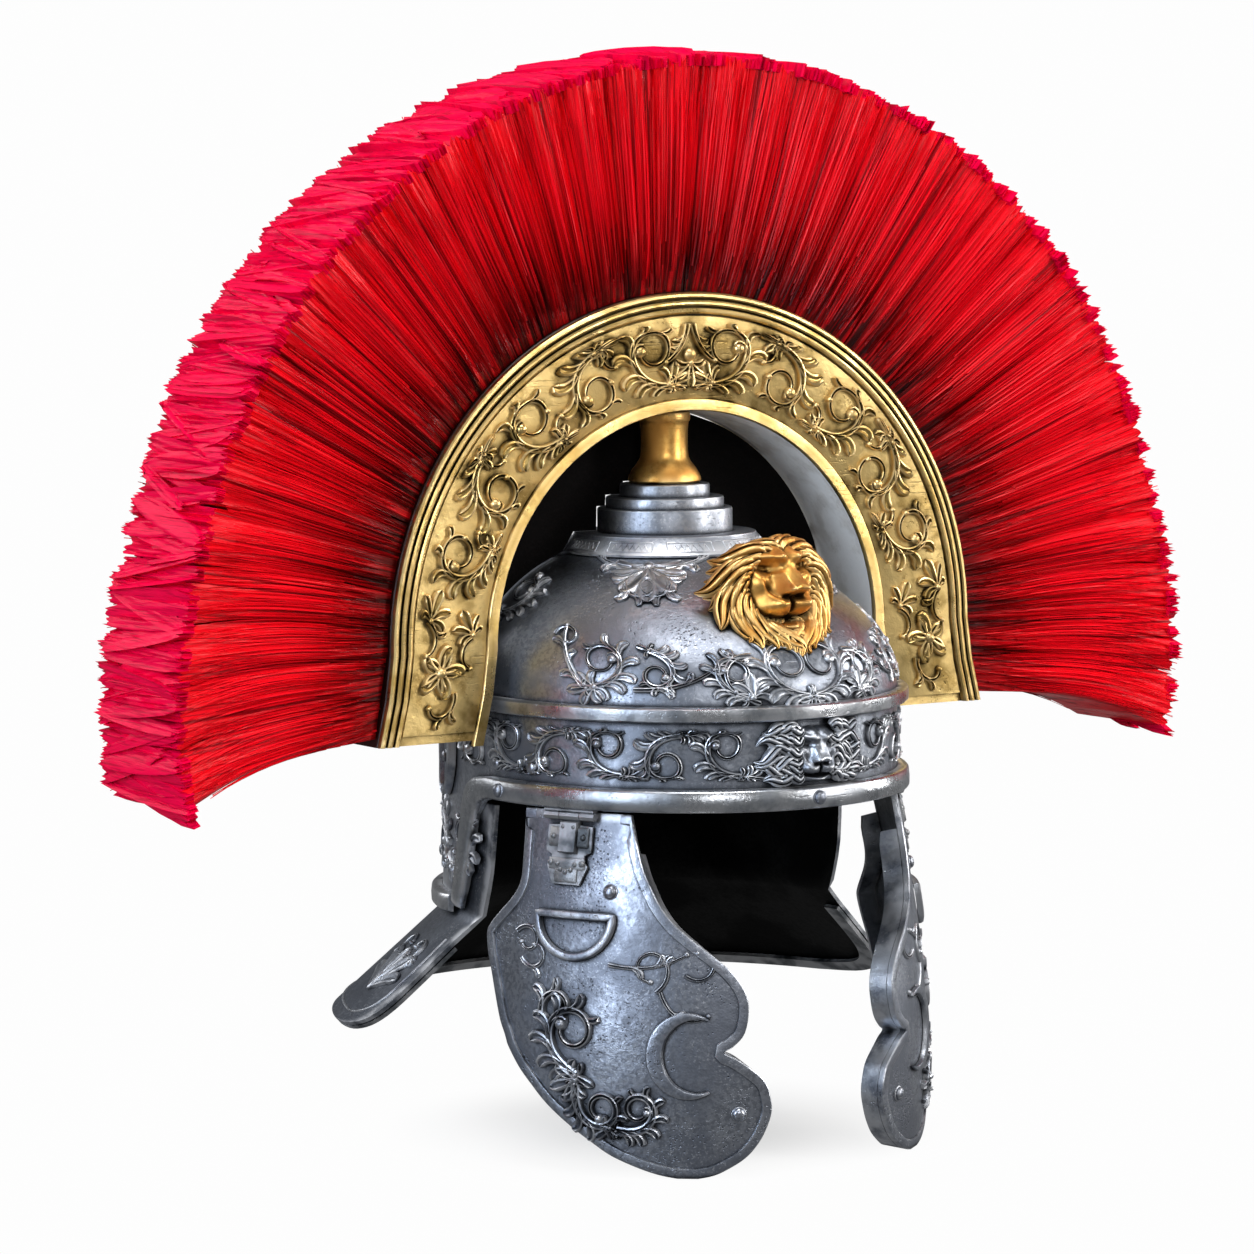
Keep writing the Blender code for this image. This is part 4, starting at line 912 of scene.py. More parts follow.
# One half of the arch's ornament. Coils are (u, v, heading, side, size), sprays are
# (u, v, heading, size, lobes) and stems are (u, v, heading, length, turn, width, leaves).
ARCH_RISE = 0.0024
ARCH_COILS = ((12, -15, 12, 1, 88), (48, 15, -12, -1, 88), (86, -15, 12, 1, 88), (123, 15, -12, -1, 86),
              (160, -15, 12, 1, 80))
ARCH_SPRAYS = ((14, -13, 165, 15, 5), (52, 15, 165, 14, 5), (90, -15, 195, 14, 5), (127, 15, 165, 14, 5),
               (163, -15, 195, 14, 5), (200, 13, 200, 15, 5), (206, -12, 150, 14, 5))
ARCH_STEMS = ((1.4, 19, -86, 26, 70, 1.9, ((0.3, 1, 10), (0.55, 1, 9))),
              (42, 16, -20, 20, -170, 1.5, ((0.25, 1, 9),)),
              (80, -17, 20, 20, 170, 1.5, ((0.25, -1, 9),)),
              (118, 16, -20, 20, -170, 1.5, ((0.25, 1, 9),)),
              (154, -17, 20, 20, 170, 1.5, ((0.25, -1, 9),)),
              (200, 15, -60, 22, 160, 1.5, ((0.3, -1, 9),)),
              (208, -12, 60, 20, -150, 1.4, ()),
              (234, -4, -10, 24, 190, 1.6, ((0.25, -1, 10), (0.5, -1, 8))))
BOSSES = ((0, 1, 3.4), (48, -3, 1.7), (86, 3, 1.7), (124, -3, 1.7), (160, 3, 1.7))
FLOWER_U = 224.0
FLOWER_V = 5.0

for side, label in ((-1, "front"), (1, "back")):
    scrolls = Shape()
    for mirror in (1, -1):
        surface = arch_surface(side, mirror)
        for u, v, heading, turning, size in ARCH_COILS:
            scroll(scrolls, surface, u, v, heading, turning, size, 2.1, ARCH_RISE)
        for u, v, heading, size, lobes in ARCH_SPRAYS:
            spray(scrolls, surface, u, v, heading, size, ARCH_RISE, lobes)
        for u, v, heading, length, turn, width, leaves in ARCH_STEMS:
            tendril(scrolls, surface, u, v, heading, length, turn, width, 1.3, leaves, 1.5, ARCH_RISE)
        for u, v, radius in BOSSES:
            bud(scrolls, surface, u * MM, v * MM, radius * MM, ARCH_RISE * 1.5)
        for index in range(10):
            reach, curl = (14.0, 85) if index % 2 else (11.0, -85)
            leaf(scrolls, surface, FLOWER_U, FLOWER_V, index * 36, reach, curl, ARCH_RISE, 0.26)
        bud(scrolls, surface, FLOWER_U * MM, FLOWER_V * MM, 3.0 * MM, ARCH_RISE * 1.8)
    spray(scrolls, arch_surface(side, 1), 0, -3, -90, 14, ARCH_RISE * 1.1, 5)
    piece("crest_scrolls_" + label, scrolls, relief_brass, "helmet")

# Back panel of the crest
# A near-black sheet, painted shade for the dark hollow under the arch, closes its rear over the
# crown. It sits inside the box, and its lower edge is cut to the steps of the crown boss and the dome.
# Painted shade: a finely grained near-black sheet
shade_sheet_paint, tree, shader = new_paint("painted shade sheet")
shader.inputs["Specular IOR Level"].default_value = 0.03
cells = add(tree, "TexVoronoi")
plug(tree, cells.inputs["Vector"], add(tree, "TexCoord").outputs["Object"])
cells.inputs["Scale"].default_value = 900.0
grain = cells.outputs["Distance"]
plug(tree, shader.inputs["Base Color"],
     mixed(tree, grain, rgb(0.003, 0.003, 0.003), rgb(0.007, 0.006, 0.006)))
plug(tree, shader.inputs["Roughness"], ranged(tree, grain, 0.0, 0.7, 0.85, 0.98))
bump(tree, shader, grain, 0.3, 0.0003)

PANEL_THICKNESS = 0.0015
DOME_SIDE = 0.1025


def dome_height(x, y):
    """How high the dome is over a place, by halving the climb."""
    low, high = 0.0, 90.0
    for _ in range(24):
        climb = (low + high) / 2
        share = cos(radians(climb))
        roundness = smooth(climb / CROWN_CLIMB)
        long_way = BOWL_BACK if y > BOWL_CENTRE_Y * (1 - roundness) else BOWL_FRONT
        depth = (long_way + (BOWL_HALF_WIDTH - long_way) * roundness) * share
        away = hypot(x / (BOWL_HALF_WIDTH * share), (y - BOWL_CENTRE_Y * (1 - roundness)) / depth)
        low, high = (climb, high) if away < 1 else (low, climb)
    return BAND_HEIGHT + DOME_RISE * sin(radians(low))


panel_rear = BOX_HALF_DEPTH - GAP
panel_fore = panel_rear - PANEL_THICKNESS
panel_reach = ARCH_INNER - 0.0008
edge = [(0, CROWN_TOP + GAP)]
height = CROWN_TOP
for radius, fall in zip(STEP_RADII, STEP_HEIGHTS):
    across = sqrt(radius ** 2 - panel_fore ** 2) + GAP
    edge += [(across, height + GAP), (across + GAP, height - fall + GAP)]
    height -= fall
skirt_side = sqrt((CROWN_RADIUS + GAP * 5) ** 2 - panel_fore ** 2)
edge += [(sqrt(STEP_RADII[3] ** 2 - panel_fore ** 2) + GAP, height + GAP)]
edge += [(across, dome_height(across - GAP * 3, panel_fore) + GAP * 3) for across in
         (skirt_side + (DOME_SIDE - skirt_side) * index / 24 for index in range(25))]
edge.append((panel_reach, BAND_HEIGHT + GAP))
edge = [(-across, height) for across, height in edge[:0:-1]] + edge
panel = Shape()
panel.slab(*[[[(x, y, z + (ARCH_CENTRE_Z + sqrt(max(0.0, panel_reach ** 2 - x ** 2)) - z) * level / 6)
               for x, z in edge] for level in range(7)] for y in (panel_fore, panel_rear)])
piece("crest_back_sheet", panel, shade_sheet_paint, "helmet", ["crest_back_panel"])

# Hair board
# The board is a bent wooden batten, stained dark mahogany, round the outside of the arch. The
# hair is glued into it, and it shows as a dark edge beside the brass moulding.
wood_stain, tree, shader = new_paint("mahogany stain")
shader.inputs["Roughness"].default_value = 0.32
drawn = add(tree, "Mapping")
plug(tree, drawn.inputs["Vector"], add(tree, "TexCoord").outputs["Object"])
drawn.inputs["Scale"].default_value = (90, 700, 90)
figure = cloud(tree, drawn.outputs[0], 1.0, 6.0)
plug(tree, shader.inputs["Base Color"],
     mixed(tree, figure, rgb(0.040, 0.008, 0.005), rgb(0.012, 0.003, 0.002)))
bump(tree, shader, figure, 0.2, 0.0004)

board = Shape()
arch_sweep(board, [(BOARD_INNER, -BOX_HALF_DEPTH), (ARCH_OUTER - 0.001, -BOX_HALF_DEPTH),
                   (ARCH_OUTER, -BOX_HALF_DEPTH + 0.001), (ARCH_OUTER, BOX_HALF_DEPTH - 0.001),
                   (ARCH_OUTER - 0.001, BOX_HALF_DEPTH), (BOARD_INNER, BOX_HALF_DEPTH)], ARCH_LEG)
piece("hair_board_batten", board, wood_stain, "helmet", ["hair_board"])

# Horsehair crest
# Dyed horsehair is bound in flat bundles, four to a sector, and glued side by side round the
# board. The bundles fan out and are cut in a thick arc, where the ends lie crossed and crushed.
PLUME_RADIUS = 0.280
PLUME_END_RADIUS = 0.292
PLUME_SPREAD = 102.6
PLUME_ROOT_HALF = 0.0195
PLUME_TIP_HALF = 0.0385
PLUME_SECTORS = 9
BUNDLES = 4
BUNDLE_COLUMNS = 26
BUNDLE_ROWS = 16
TIP_ROWS = 12
STRANDS = 46
TUFTS = 7


def hair_group():
    """Strands that run out from the arch's centre: streaks, a dark root, a bright end, painted glints and
    painted shade.
    """
    made, given, result = effect("hair strands", {
        "Root": "Color", "Middle": "Color", "End": "Color", "Light": "Color"}, SURFACE_SOCKETS)
    place = add(made, "SeparateXYZ")
    plug(made, place.inputs[0], add(made, "TexCoord").outputs["Object"])
    x, y = place.outputs["X"], place.outputs["Y"]
    z = minus(made, place.outputs["Z"], ARCH_CENTRE_Z)
    turn = calc(made, "ARCTAN2", x, z)
    radius = calc(made, "SQRT", plus(made, times(made, x, x), times(made, z, z)))

    def streak(around, along, deep, detail):
        line = add(made, "CombineXYZ")
        for target, source, scale in zip(line.inputs, (turn, radius, y), (around, along, deep)):
            plug(made, target, times(made, source, scale))
        return cloud(made, line.outputs[0], 1.0, detail)

    fine = streak(420.0, 9.0, 60.0, 3.0)
    broad = streak(60.0, 7.0, 20.0, 3.0)
    depth = plus(made, radius, times(made, minus(made, broad, 0.5), 0.10))
    depth = plus(made, depth, times(made, minus(made, fine, 0.5), 0.05))
    colour = mixed(made, ranged(made, depth, 0.152, 0.212), given["Root"], given["Middle"])
    colour = mixed(made, ranged(made, depth, 0.185, 0.250), colour, given["End"])
    # Painted highlight: glints of the highlight colour along the strands on the outer part of the hair
    glint = times(made, ranged(made, fine, 0.54, 0.72), ranged(made, broad, 0.40, 0.62))
    glint = times(made, glint, ranged(made, radius, 0.165, 0.20))
    colour = mixed(made, times(made, glint, 0.55), colour, given["Light"])
    # Painted shade in the gaps between clumps and strands, mixed towards the root colour
    clump = streak(95.0, 3.0, 8.0, 2.0)
    shade = calc(made, "MAXIMUM", times(made, ranged(made, fine, 0.48, 0.33), 0.55),
                 times(made, ranged(made, clump, 0.42, 0.34), 0.70))
    plug(made, result["Colour"], mixed(made, shade, colour, given["Root"]))
    plug(made, result["Roughness"], ranged(made, fine, 0.3, 0.7, 0.42, 0.26))
    plug(made, result["Height"], fine)
    return made


hair_strands = hair_group()


def hair_finish(name, root, middle, end, light, ridged, gloss):
    made, tree, shader = new_paint(name)
    shader.inputs["Specular IOR Level"].default_value = gloss
    dress(tree, shader, hair_strands, {"Root": root, "Middle": middle, "End": end, "Light": light},
          ridged, 0.0008)
    made.diffuse_color = middle
    return made


# The last colour of each finish is the painted highlight of its glints
scarlet = hair_finish("scarlet horsehair", rgb(0.010, 0.0, 0.0), rgb(0.66, 0.002, 0.006),
                      rgb(1.0, 0.005, 0.018), rgb(1.0, 0.15, 0.15), 0.6, 0.14)
crimson = hair_finish("crimson cut ends", rgb(0.36, 0.0, 0.02), rgb(0.72, 0.001, 0.040),
                      rgb(0.84, 0.001, 0.052), rgb(0.95, 0.01, 0.07), 0.3, 0.02)


def plume_root(turn):
    """How far out the hair starts at a turn from the top, round the board and down its legs."""
    if abs(turn) <= 90:
        return ARCH_OUTER + GAP
    drop = ARCH_OUTER * sin(radians(abs(turn) - 90))
    return (ARCH_OUTER + LEG_FLARE * min(1.0, drop / ARCH_LEG) + GAP * 3) / sin(radians(abs(turn)))


def plume_end(turn):
    lower = smooth((abs(turn) - 70) / (PLUME_SPREAD - 70))
    return PLUME_RADIUS + (PLUME_END_RADIUS - PLUME_RADIUS) * lower


def hair_place(turn, radius, y):
    angle = radians(turn)
    return Vector((radius * sin(angle), y, ARCH_CENTRE_Z + radius * cos(angle)))


def half_depth(share):
    return PLUME_ROOT_HALF + (PLUME_TIP_HALF - PLUME_ROOT_HALF) * share ** 0.8


def droop(turn, share):
    """Hair on the lower sides hangs a little: a turn added to its own, most in mid-length."""
    return 1.6 * sin(pi * share) * smooth((abs(turn) - 60) / 45) * (-1 if turn > 0 else 1)


def hair_bundle(shape, start, end, draw):
    """One bundle: pleated faces front and back, and a crushed end."""
    wobble = [draw.uniform(-1, 1) for _ in range(BUNDLE_COLUMNS * 2 + 2)]
    reach = [draw.uniform(-0.0030, 0.0026) for _ in range(BUNDLE_COLUMNS + 1)]
    lean = draw.uniform(-0.35, 0.35)
    swell = draw.uniform(0.0012, 0.0034)

    def face_row(share, side):
        row = []
        for column in range(BUNDLE_COLUMNS + 1):
            across = column / BUNDLE_COLUMNS
            turn = start + (end - start) * across
            turn += lean * share * sin(pi * across) + droop(turn, share)
            root = plume_root(start + (end - start) * across)
            tip = plume_end(turn) + reach[column] * share ** 6
            radius = root + (tip - root) * share
            pleat = swell * (sin(pi * across) ** 0.7 * 1.6 - 1.0)
            strand = wobble[column + (side > 0) * BUNDLE_COLUMNS] * 0.0010
            strand += 0.0005 * sin(column * 1.7 + share * 7)
            bulge = (pleat + strand) * smooth(share * 5)
            row.append(hair_place(turn, radius, side * (half_depth(share) - 0.0015 + bulge)))
        return row

    sections = []
    for index in range(BUNDLE_ROWS + 1):
        share = index / BUNDLE_ROWS
        fore, rear = face_row(share, -1), face_row(share, 1)
        sections.append(fore + rear[::-1])
    rings = shape.rows(sections)
    for first, second in zip(rings, rings[1:]):
        shape.join(first, second)
    shape.face(rings[0])
    outer = rings[-1]
    width = BUNDLE_COLUMNS + 1
    rows = [outer[:width]]
    for step in range(1, TIP_ROWS):
        share = step / TIP_ROWS
        fresh = []
        for column in range(width):
            fore = Vector(shape.points[outer[column]])
            rear = Vector(shape.points[outer[2 * width - 1 - column]])
            point = fore.lerp(rear, share)
            rise = (0.0015 + 0.0022 * wobble[column]) * sin(pi * share) + draw.uniform(-0.0006, 0.0006)
            away = Vector((point.x, 0, point.z - ARCH_CENTRE_Z)).normalized()
            fresh.append(point + away * rise)
        rows.append(shape.rows([fresh])[0])
    rows.append(outer[width:][::-1])
    shape.sheet(rows, 1)


def hair_strand(shape, start, end, side, draw):
    """One loose strand laid on a bundle's face."""
    across = draw.random()
    turn = start + (end - start) * across
    first, last = draw.uniform(0.0, 0.35), draw.uniform(0.8, 1.02)
    bend = draw.uniform(-0.5, 0.5)
    thick = draw.uniform(0.00022, 0.0005)
    lift = draw.uniform(0.0002, 0.0012) + 0.0022 * sin(pi * across) - 0.0012
    sections = []
    for index in range(8):
        share = first + (last - first) * index / 7
        place_turn = turn + bend * sin(pi * share) + droop(turn, share)
        root, tip = plume_root(turn), plume_end(turn)
        radius = root + (tip - root) * share
        y = side * (half_depth(min(1.0, share)) + lift * smooth(share * 5))
        centre = hair_place(place_turn, radius, y)
        size = thick * (1.0 if index < 6 else 0.5)
        along = degrees(size / radius)
        sections.append([hair_place(place_turn - along, radius, y - side * size),
                         hair_place(place_turn + along, radius, y - side * size),
                         centre + Vector((0, side * size * 0.6, 0))])
    shape.skin(sections)


def hair_tuft(shape, turn, y_from, y_to, slant, width, rise, draw):
    """A flat crushed tuft that lies across the cut end, one side higher like a shingle."""
    ridges = 9
    tilt = draw.uniform(0.25, 1.0) * draw.choice((-1, 1))
    grooves = [draw.uniform(-0.0005, 0.0005) for _ in range(ridges + 1)]
    top, base = [], []
    for index in range(9):
        share = index / 8
        y = y_from + (y_to - y_from) * share
        centre = turn + slant * (share - 0.5)
        spread = width * (0.75 + 0.25 * sin(pi * share)) * (0.72 if index in (0, 8) else 1.0)
        upper, lower = [], []
        for ridge in range(ridges + 1):
            side = ridge / ridges - 0.5
            place_turn = centre + spread * side
            radius = plume_end(place_turn) + 0.0006
            lift = rise * (0.55 + tilt * side) + grooves[ridge] + draw.uniform(-0.0002, 0.0002)
            lift *= 0.55 + 0.45 * sin(pi * (0.12 + 0.76 * share))
            jag = draw.uniform(-0.0042, 0.0030) * (1 if index else -1) if index in (0, 8) else 0.0
            upper.append(hair_place(place_turn, radius + lift, y + jag))
            lower.append(hair_place(place_turn, radius - 0.0035, y + jag * 0.5))
        top.append(upper)
        base.append(lower)
    shape.slab(top, base, 1)


for number in range(1, PLUME_SECTORS + 1):
    draw = Random(400 + number)
    span = 2 * PLUME_SPREAD / PLUME_SECTORS
    first = -PLUME_SPREAD + span * (number - 1)
    hair = Shape()
    for bundle in range(BUNDLES):
        start = first + span * bundle / BUNDLES
        end = start + span / BUNDLES
        hair_bundle(hair, start + 0.12, end - 0.12, draw)
        for side in (-1, 1):
            for _ in range(STRANDS):
                hair_strand(hair, start, end, side, draw)
        for tuft in range(TUFTS):
            turn = start + (end - start) * (tuft + draw.uniform(0.1, 0.9)) / TUFTS
            turn = min(PLUME_SPREAD - 1.0, max(-PLUME_SPREAD + 1.0, turn))
            width = draw.uniform(0.9, 2.3)
            # Most tufts cross the whole end, and the rest start or stop part of the way
            if draw.random() < 0.65:
                shares = -draw.uniform(0.96, 1.06), draw.uniform(0.96, 1.08)
            elif draw.random() < 0.5:
                shares = -draw.uniform(0.96, 1.04), draw.uniform(0.1, 0.7)
            else:
                shares = -draw.uniform(0.1, 0.7), draw.uniform(0.98, 1.08)
            hair_tuft(hair, turn, PLUME_TIP_HALF * shares[0], PLUME_TIP_HALF * shares[1],
                      draw.uniform(-3.6, 3.6), width, draw.uniform(0.0014, 0.0062), draw)
    piece("plume_hair_%d" % number, hair, [scarlet, crimson], "helmet",
          ["plume_%d" % number], sharp=60)

# Lion mask
# A lion's head, cast in brass, gilded and pinned to the front of the dome. Its muzzle leans
# forward, and long chased locks of the mane sweep back to lie on the bowl.
LION_Y = -0.0935
LION_Z = 0.104
LION_LEAN = radians(10)
LION_SCALE = 0.0013
LION_DEPTH = -9.0
# A hill in a relief falls to one part in this at its half-size
HILL_FALL = 2.718


def hill(u, v, centre_u, centre_v, size_u, size_v, rise, tilt=0.0):
    """A smooth rise or hollow in a relief, by its centre and half-sizes."""
    a, b = u - centre_u, v - centre_v
    turn = radians(tilt)
    a, b = a * cos(turn) + b * sin(turn), b * cos(turn) - a * sin(turn)
    return rise * HILL_FALL ** -((a / size_u) ** 2 + (b / size_v) ** 2)


# What shapes a lion's face: (name, centre u and v, half-sizes, rise or hollow, tilt)
FACE_FORMS = (
    ("nose pad", 0, -3.0, 5.0, 2.4, 2.2, 0), ("nostril wing", 3.4, -3.9, 1.9, 1.7, 1.5, 0),
    ("nostril", 2.7, -5.5, 1.5, 0.9, -4.2, -20), ("muzzle", 4.8, -9.0, 4.6, 3.6, 6.6, 0),
    ("whisker pad", 7.6, -7.6, 3.6, 3.6, 2.2, 0), ("lip groove", 0, -8.6, 0.55, 3.2, -3.6, 0),
    ("mouth", 0, -13.6, 7.2, 1.2, -6.0, 0), ("corner of the mouth", 6.6, -12.9, 3.0, 1.0, -3.2, 24),
    ("chin", 0, -17.2, 4.4, 2.4, 5.6, 0), ("brow", 6.0, 9.0, 4.4, 1.7, 4.6, 14),
    ("inner brow", 2.8, 10.6, 2.0, 2.4, 1.8, 0), ("eye socket", 6.4, 4.9, 3.1, 2.1, -5.4, 10),
    ("eyeball", 6.5, 4.6, 2.0, 1.5, 3.6, 10), ("eye slit", 6.4, 4.3, 1.9, 0.42, -1.3, 10),
    ("upper lid", 6.5, 6.5, 3.2, 0.5, 1.2, 12), ("lower lid", 6.8, 2.4, 3.0, 0.5, 0.9, -8),
    ("cheekbone", 10.6, 0.2, 3.4, 4.2, 3.4, -18), ("cheek fold", 7.4, -2.8, 1.0, 4.4, -1.9, -28),
    ("forehead", 3.6, 15.0, 2.8, 3.2, 2.2, 0), ("forehead furrow", 0, 14.5, 0.8, 4.5, -1.8, 0))
FACE_LOW = -20.5
FACE_HALF_WIDTH = 15.5


def beast_height(u, v):
    """The relief of a lion's face, in units of its own, over a face about 30 wide and 38 high."""
    side = abs(u)
    height = 9.4 * (1 - 0.9 * (u / 17) ** 2 - 0.45 * ((v + 2) / 22) ** 2)
    # The broad flat bridge climbs forward from the brow to the nose pad
    bridge = smooth((6.2 - side) / 3.2) * smooth((v + 6.2) / 2.2) * smooth((14.5 - v) / 6)
    height += bridge * (3.2 + 4.2 * smooth((9 - v) / 12))
    height += sum(hill(side, v, *form) for name, *form in FACE_FORMS)
    return height - 0.12 * max(0.0, v - 9.5) ** 2


def beast_face(shape, span, rows, columns, front, rear):
    """Lay a face as a solid grid, from functions that place its front and its rear."""
    grids = [], []
    for row in range(rows + 1):
        v = FACE_LOW + span * row / rows
        round_off = sqrt(max(0.06, 1 - ((v + 1.5) / 22.5) ** 4))
        across = [FACE_HALF_WIDTH * (2 * column / columns - 1) * round_off for column in range(columns + 1)]
        for grid, place in zip(grids, (front, rear)):
            grid.append([place(u, v) for u in across])
    shape.slab(*grids)


LOCK_SECTION = ((-1, -0.7), (-1, 0.1), (-0.84, 0.52), (-0.62, 0.60), (-0.44, 0.38), (-0.24, 0.80),
                (0, 0.92), (0.24, 0.80), (0.44, 0.38), (0.62, 0.60), (0.84, 0.52), (1, 0.1), (1, -0.7))


def lock(shape, points, width, up):
    """A chased lock of mane with three ridges, pointed at its end, along a row of points."""
    sections = []
    last = len(points) - 1
    for index, centre in enumerate(points):
        share = index / last
        along = (points[min(last, index + 1)] - points[max(0, index - 1)]).normalized()
        crest = (up - along * up.dot(along)).normalized()
        across = along.cross(crest)
        size = width * (0.45 + 0.75 * sin(pi * (0.08 + 0.80 * share))) * (1 - 0.82 * share ** 5)
        sections.append([centre + across * size * a + crest * size * b for a, b in LOCK_SECTION])
    shape.skin(sections)


lion = Shape()
lion_root = Vector((0, LION_Y, LION_Z))
lion_up = Vector((0, sin(LION_LEAN), cos(LION_LEAN)))
lion_out = Vector((0, -cos(LION_LEAN), sin(LION_LEAN)))


def lion_place(u, v, out):
    """A place in the lion's own face frame, in its units."""
    return lion_root + (Vector((u, 0, 0)) + lion_up * v + lion_out * out) * LION_SCALE


def dome_front(x, z):
    """How far forward the dome reaches at a height, beside the middle."""
    climb = asin(min(1.0, max(0.0, (z - BAND_HEIGHT) / DOME_RISE)))
    roundness = smooth(degrees(climb) / CROWN_CLIMB)
    half_width = BOWL_HALF_WIDTH * cos(climb)
    depth = BOWL_FRONT * cos(climb) + (half_width - BOWL_FRONT * cos(climb)) * roundness
    return BOWL_CENTRE_Y * (1 - roundness) - depth * sqrt(max(0.02, 1 - (x / half_width) ** 2))


def lion_seat(u, v):
    """How far out the dome's face lies under a place of the lion's frame."""
    out = 0.0
    for _ in range(3):
        place = lion_place(u, v, out)
        out += (place.y - dome_front(place.x, place.z)) / (LION_SCALE * cos(LION_LEAN))
    return out


def lion_rear(u, v):
    """The casting's rear, a little smaller than its face and sunk into the dome."""
    return lion_place(u * 0.9, v * 0.9, max(LION_DEPTH, lion_seat(u * 0.9, v * 0.9)) - 0.6)


beast_face(lion, 36, 80, 68, lambda u, v: lion_place(u, v, beast_height(u, v)), lion_rear)
draw = Random(71)
# Layers of locks, outermost first: (count, start across, start up, end across, end up, end down,
# start out, arch, half-width)
MANE = ((22, 15.0, 13.5, 29.0, 20.0, 26.0, 0.0, 3.5, 3.2),
        (20, 14.4, 13.2, 26.0, 20.0, 24.5, 1.0, 5.0, 3.0),
        (18, 13.8, 12.8, 22.5, 18.5, 23.5, 1.5, 5.5, 2.6),
        (17, 13.0, 12.6, 18.5, 16.5, 22.0, 2.0, 4.0, 2.0))
for ring, (count, from_u, from_v, to_u, to_up, to_down, start_out, arch, wide) in enumerate(MANE):
    for index in range(count):
        angle = 2 * pi * (index + 0.5 * (ring % 2) + draw.uniform(-0.2, 0.2)) / count + pi / 2
        if ring > 1 and sin(angle) < -0.72:
            continue
        side = 1 if cos(angle) > 0 else -1
        sweep = -side * (0.10 + 0.24 * max(0.0, sin(angle)) + 0.60 * abs(cos(angle))) * (1 - 0.2 * ring)
        curl = side * draw.uniform(0.06, 0.16)
        reach = draw.uniform(0.88, 1.05)
        high = 3.0 * max(0.0, sin(angle))
        points = []
        for step in range(15):
            share = step / 14
            now = angle + sweep * share + curl * sin(2 * pi * share)
            end_v = to_up if sin(now) > 0 else to_down
            u = (from_u + (to_u * reach - from_u) * share) * cos(now)
            v = (from_v + (end_v * reach - from_v) * share) * sin(now) - 1.5
            seat = max(LION_DEPTH, lion_seat(u, v)) + 1.0
            out = start_out + high + (seat - start_out - high) * share ** 1.5
            out += arch * sin(pi * share) ** 0.8 * (1 - 0.4 * share)
            points.append(lion_place(u, v, max(out, seat)))
        lock(lion, points, wide * LION_SCALE * draw.uniform(0.85, 1.15),
             (lion_out + Vector((cos(angle) * 0.5, 0, sin(angle) * 0.5))).normalized())
# The beard hangs from the chin in two layers
for count, spread, foot, out in ((9, 8.0, -28.0, 4.0), (7, 5.0, -26.5, 7.0)):
    for index in range(count):
        side = 2 * index / (count - 1) - 1
        points = []
        for step in range(13):
            share = step / 12
            u = side * (spread * 0.7 + spread * 0.5 * share) + 0.8 * sin(2 * pi * share + index)
            v = -18.2 + abs(side) + (foot + 4 * abs(side) + 18.2) * share
            seat = lion_seat(u, v) + 1.2
            hung = out * (1 - share) + seat * share + 2.6 * sin(pi * share)
            points.append(lion_place(u, v, max(seat, hung)))
        lock(lion, points, 1.9 * LION_SCALE, lion_out)
piece("lion_mask_casting", lion, gold, "helmet", ["lion_mask"], sharp=55)

# Brow mask
# A smaller beast's face is embossed on the band over the brow, between the two rings, with
# its mane combed out to both sides. It is the same burnished steel as the bowl.
BROW_MASK_Z = 0.0268
BROW_MASK_SCALE = 0.00084
BROW_MASK_REACH = 0.0150

relief_steel = metal("raised steel relief", rgb(0.36, 0.385, 0.43), rgb(0.22, 0.24, 0.28),
                     rgb(0.006, 0.006, 0.007), rgb(0.74, 0.76, 0.80), rough=0.30, reach=0.0034, pits=0.2,
                     hammered=0.2)


def mask_place(u, v, out):
    """A place on the band round the mask, in the units of the face's own frame."""
    angle = degrees(u * BROW_MASK_SCALE / BOWL_FRONT * 1.08)
    height = held(v * BROW_MASK_SCALE, BROW_MASK_REACH)
    return wall_point(angle, BROW_MASK_Z + height, out * BROW_MASK_SCALE + 0.0004)


mask = Shape()
beast_face(mask, 39, 60, 52, lambda u, v: mask_place(u * 1.08, v, 0.66 * beast_height(u, v)),
           lambda u, v: mask_place(u, v, -0.3))
draw = Random(72)
for side in (-1, 1):
    for near, reach, out in ((18, 21, 1.0), (13, 18, 2.4), (10, 13, 3.6)):
        for index in range(6):
            start_v = -15 + 30 * index / 5 + draw.uniform(-1.5, 1.5)
            fall = draw.uniform(2, 7) * (1 if start_v > -8 else -0.4)
            curl = draw.choice((-1, 1)) * draw.uniform(1.4, 3.2)
            points = []
            for step in range(13):
                share = step / 12
                u = near + reach * share * (1 - 0.004 * start_v * start_v / 4)
                v = start_v * (1 + 0.2 * share) - fall * share ** 1.5 + curl * sin(2 * pi * share)
                points.append(mask_place(side * u, v, out + 1.8 * sin(pi * share) - out * 0.8 * share))
            lock(mask, points, 3.1 * BROW_MASK_SCALE, Vector((side * 0.2, -1, 0)).normalized())
piece("brow_mask_relief", mask, relief_steel, "helmet", ["brow_mask"], sharp=55)

# Embossed scrolls on the bowl
# Scrolls, fans and leaf sprays are embossed in low relief on the dome, on the band between
# the rings and on the nape, and their rims are rubbed bright.
DOME_SPAN = 0.112
DOME_STEP = 0.092


def dome_surface(angle, climb, mirror=1):
    def surface(u, v, out):
        rise = climb + degrees(v / DOME_STEP)
        place = dome_point(angle + degrees(u / (DOME_SPAN * cos(radians(rise)))), rise, out + 0.00005)
        place.x *= mirror
        return place
    return surface


def wall_surface(angle, height, mirror=1):
    def surface(u, v, out):
        place = wall_point(angle + degrees(u / DOME_SPAN), height + v, out + 0.00005)
        place.x *= mirror
        return place
    return surface


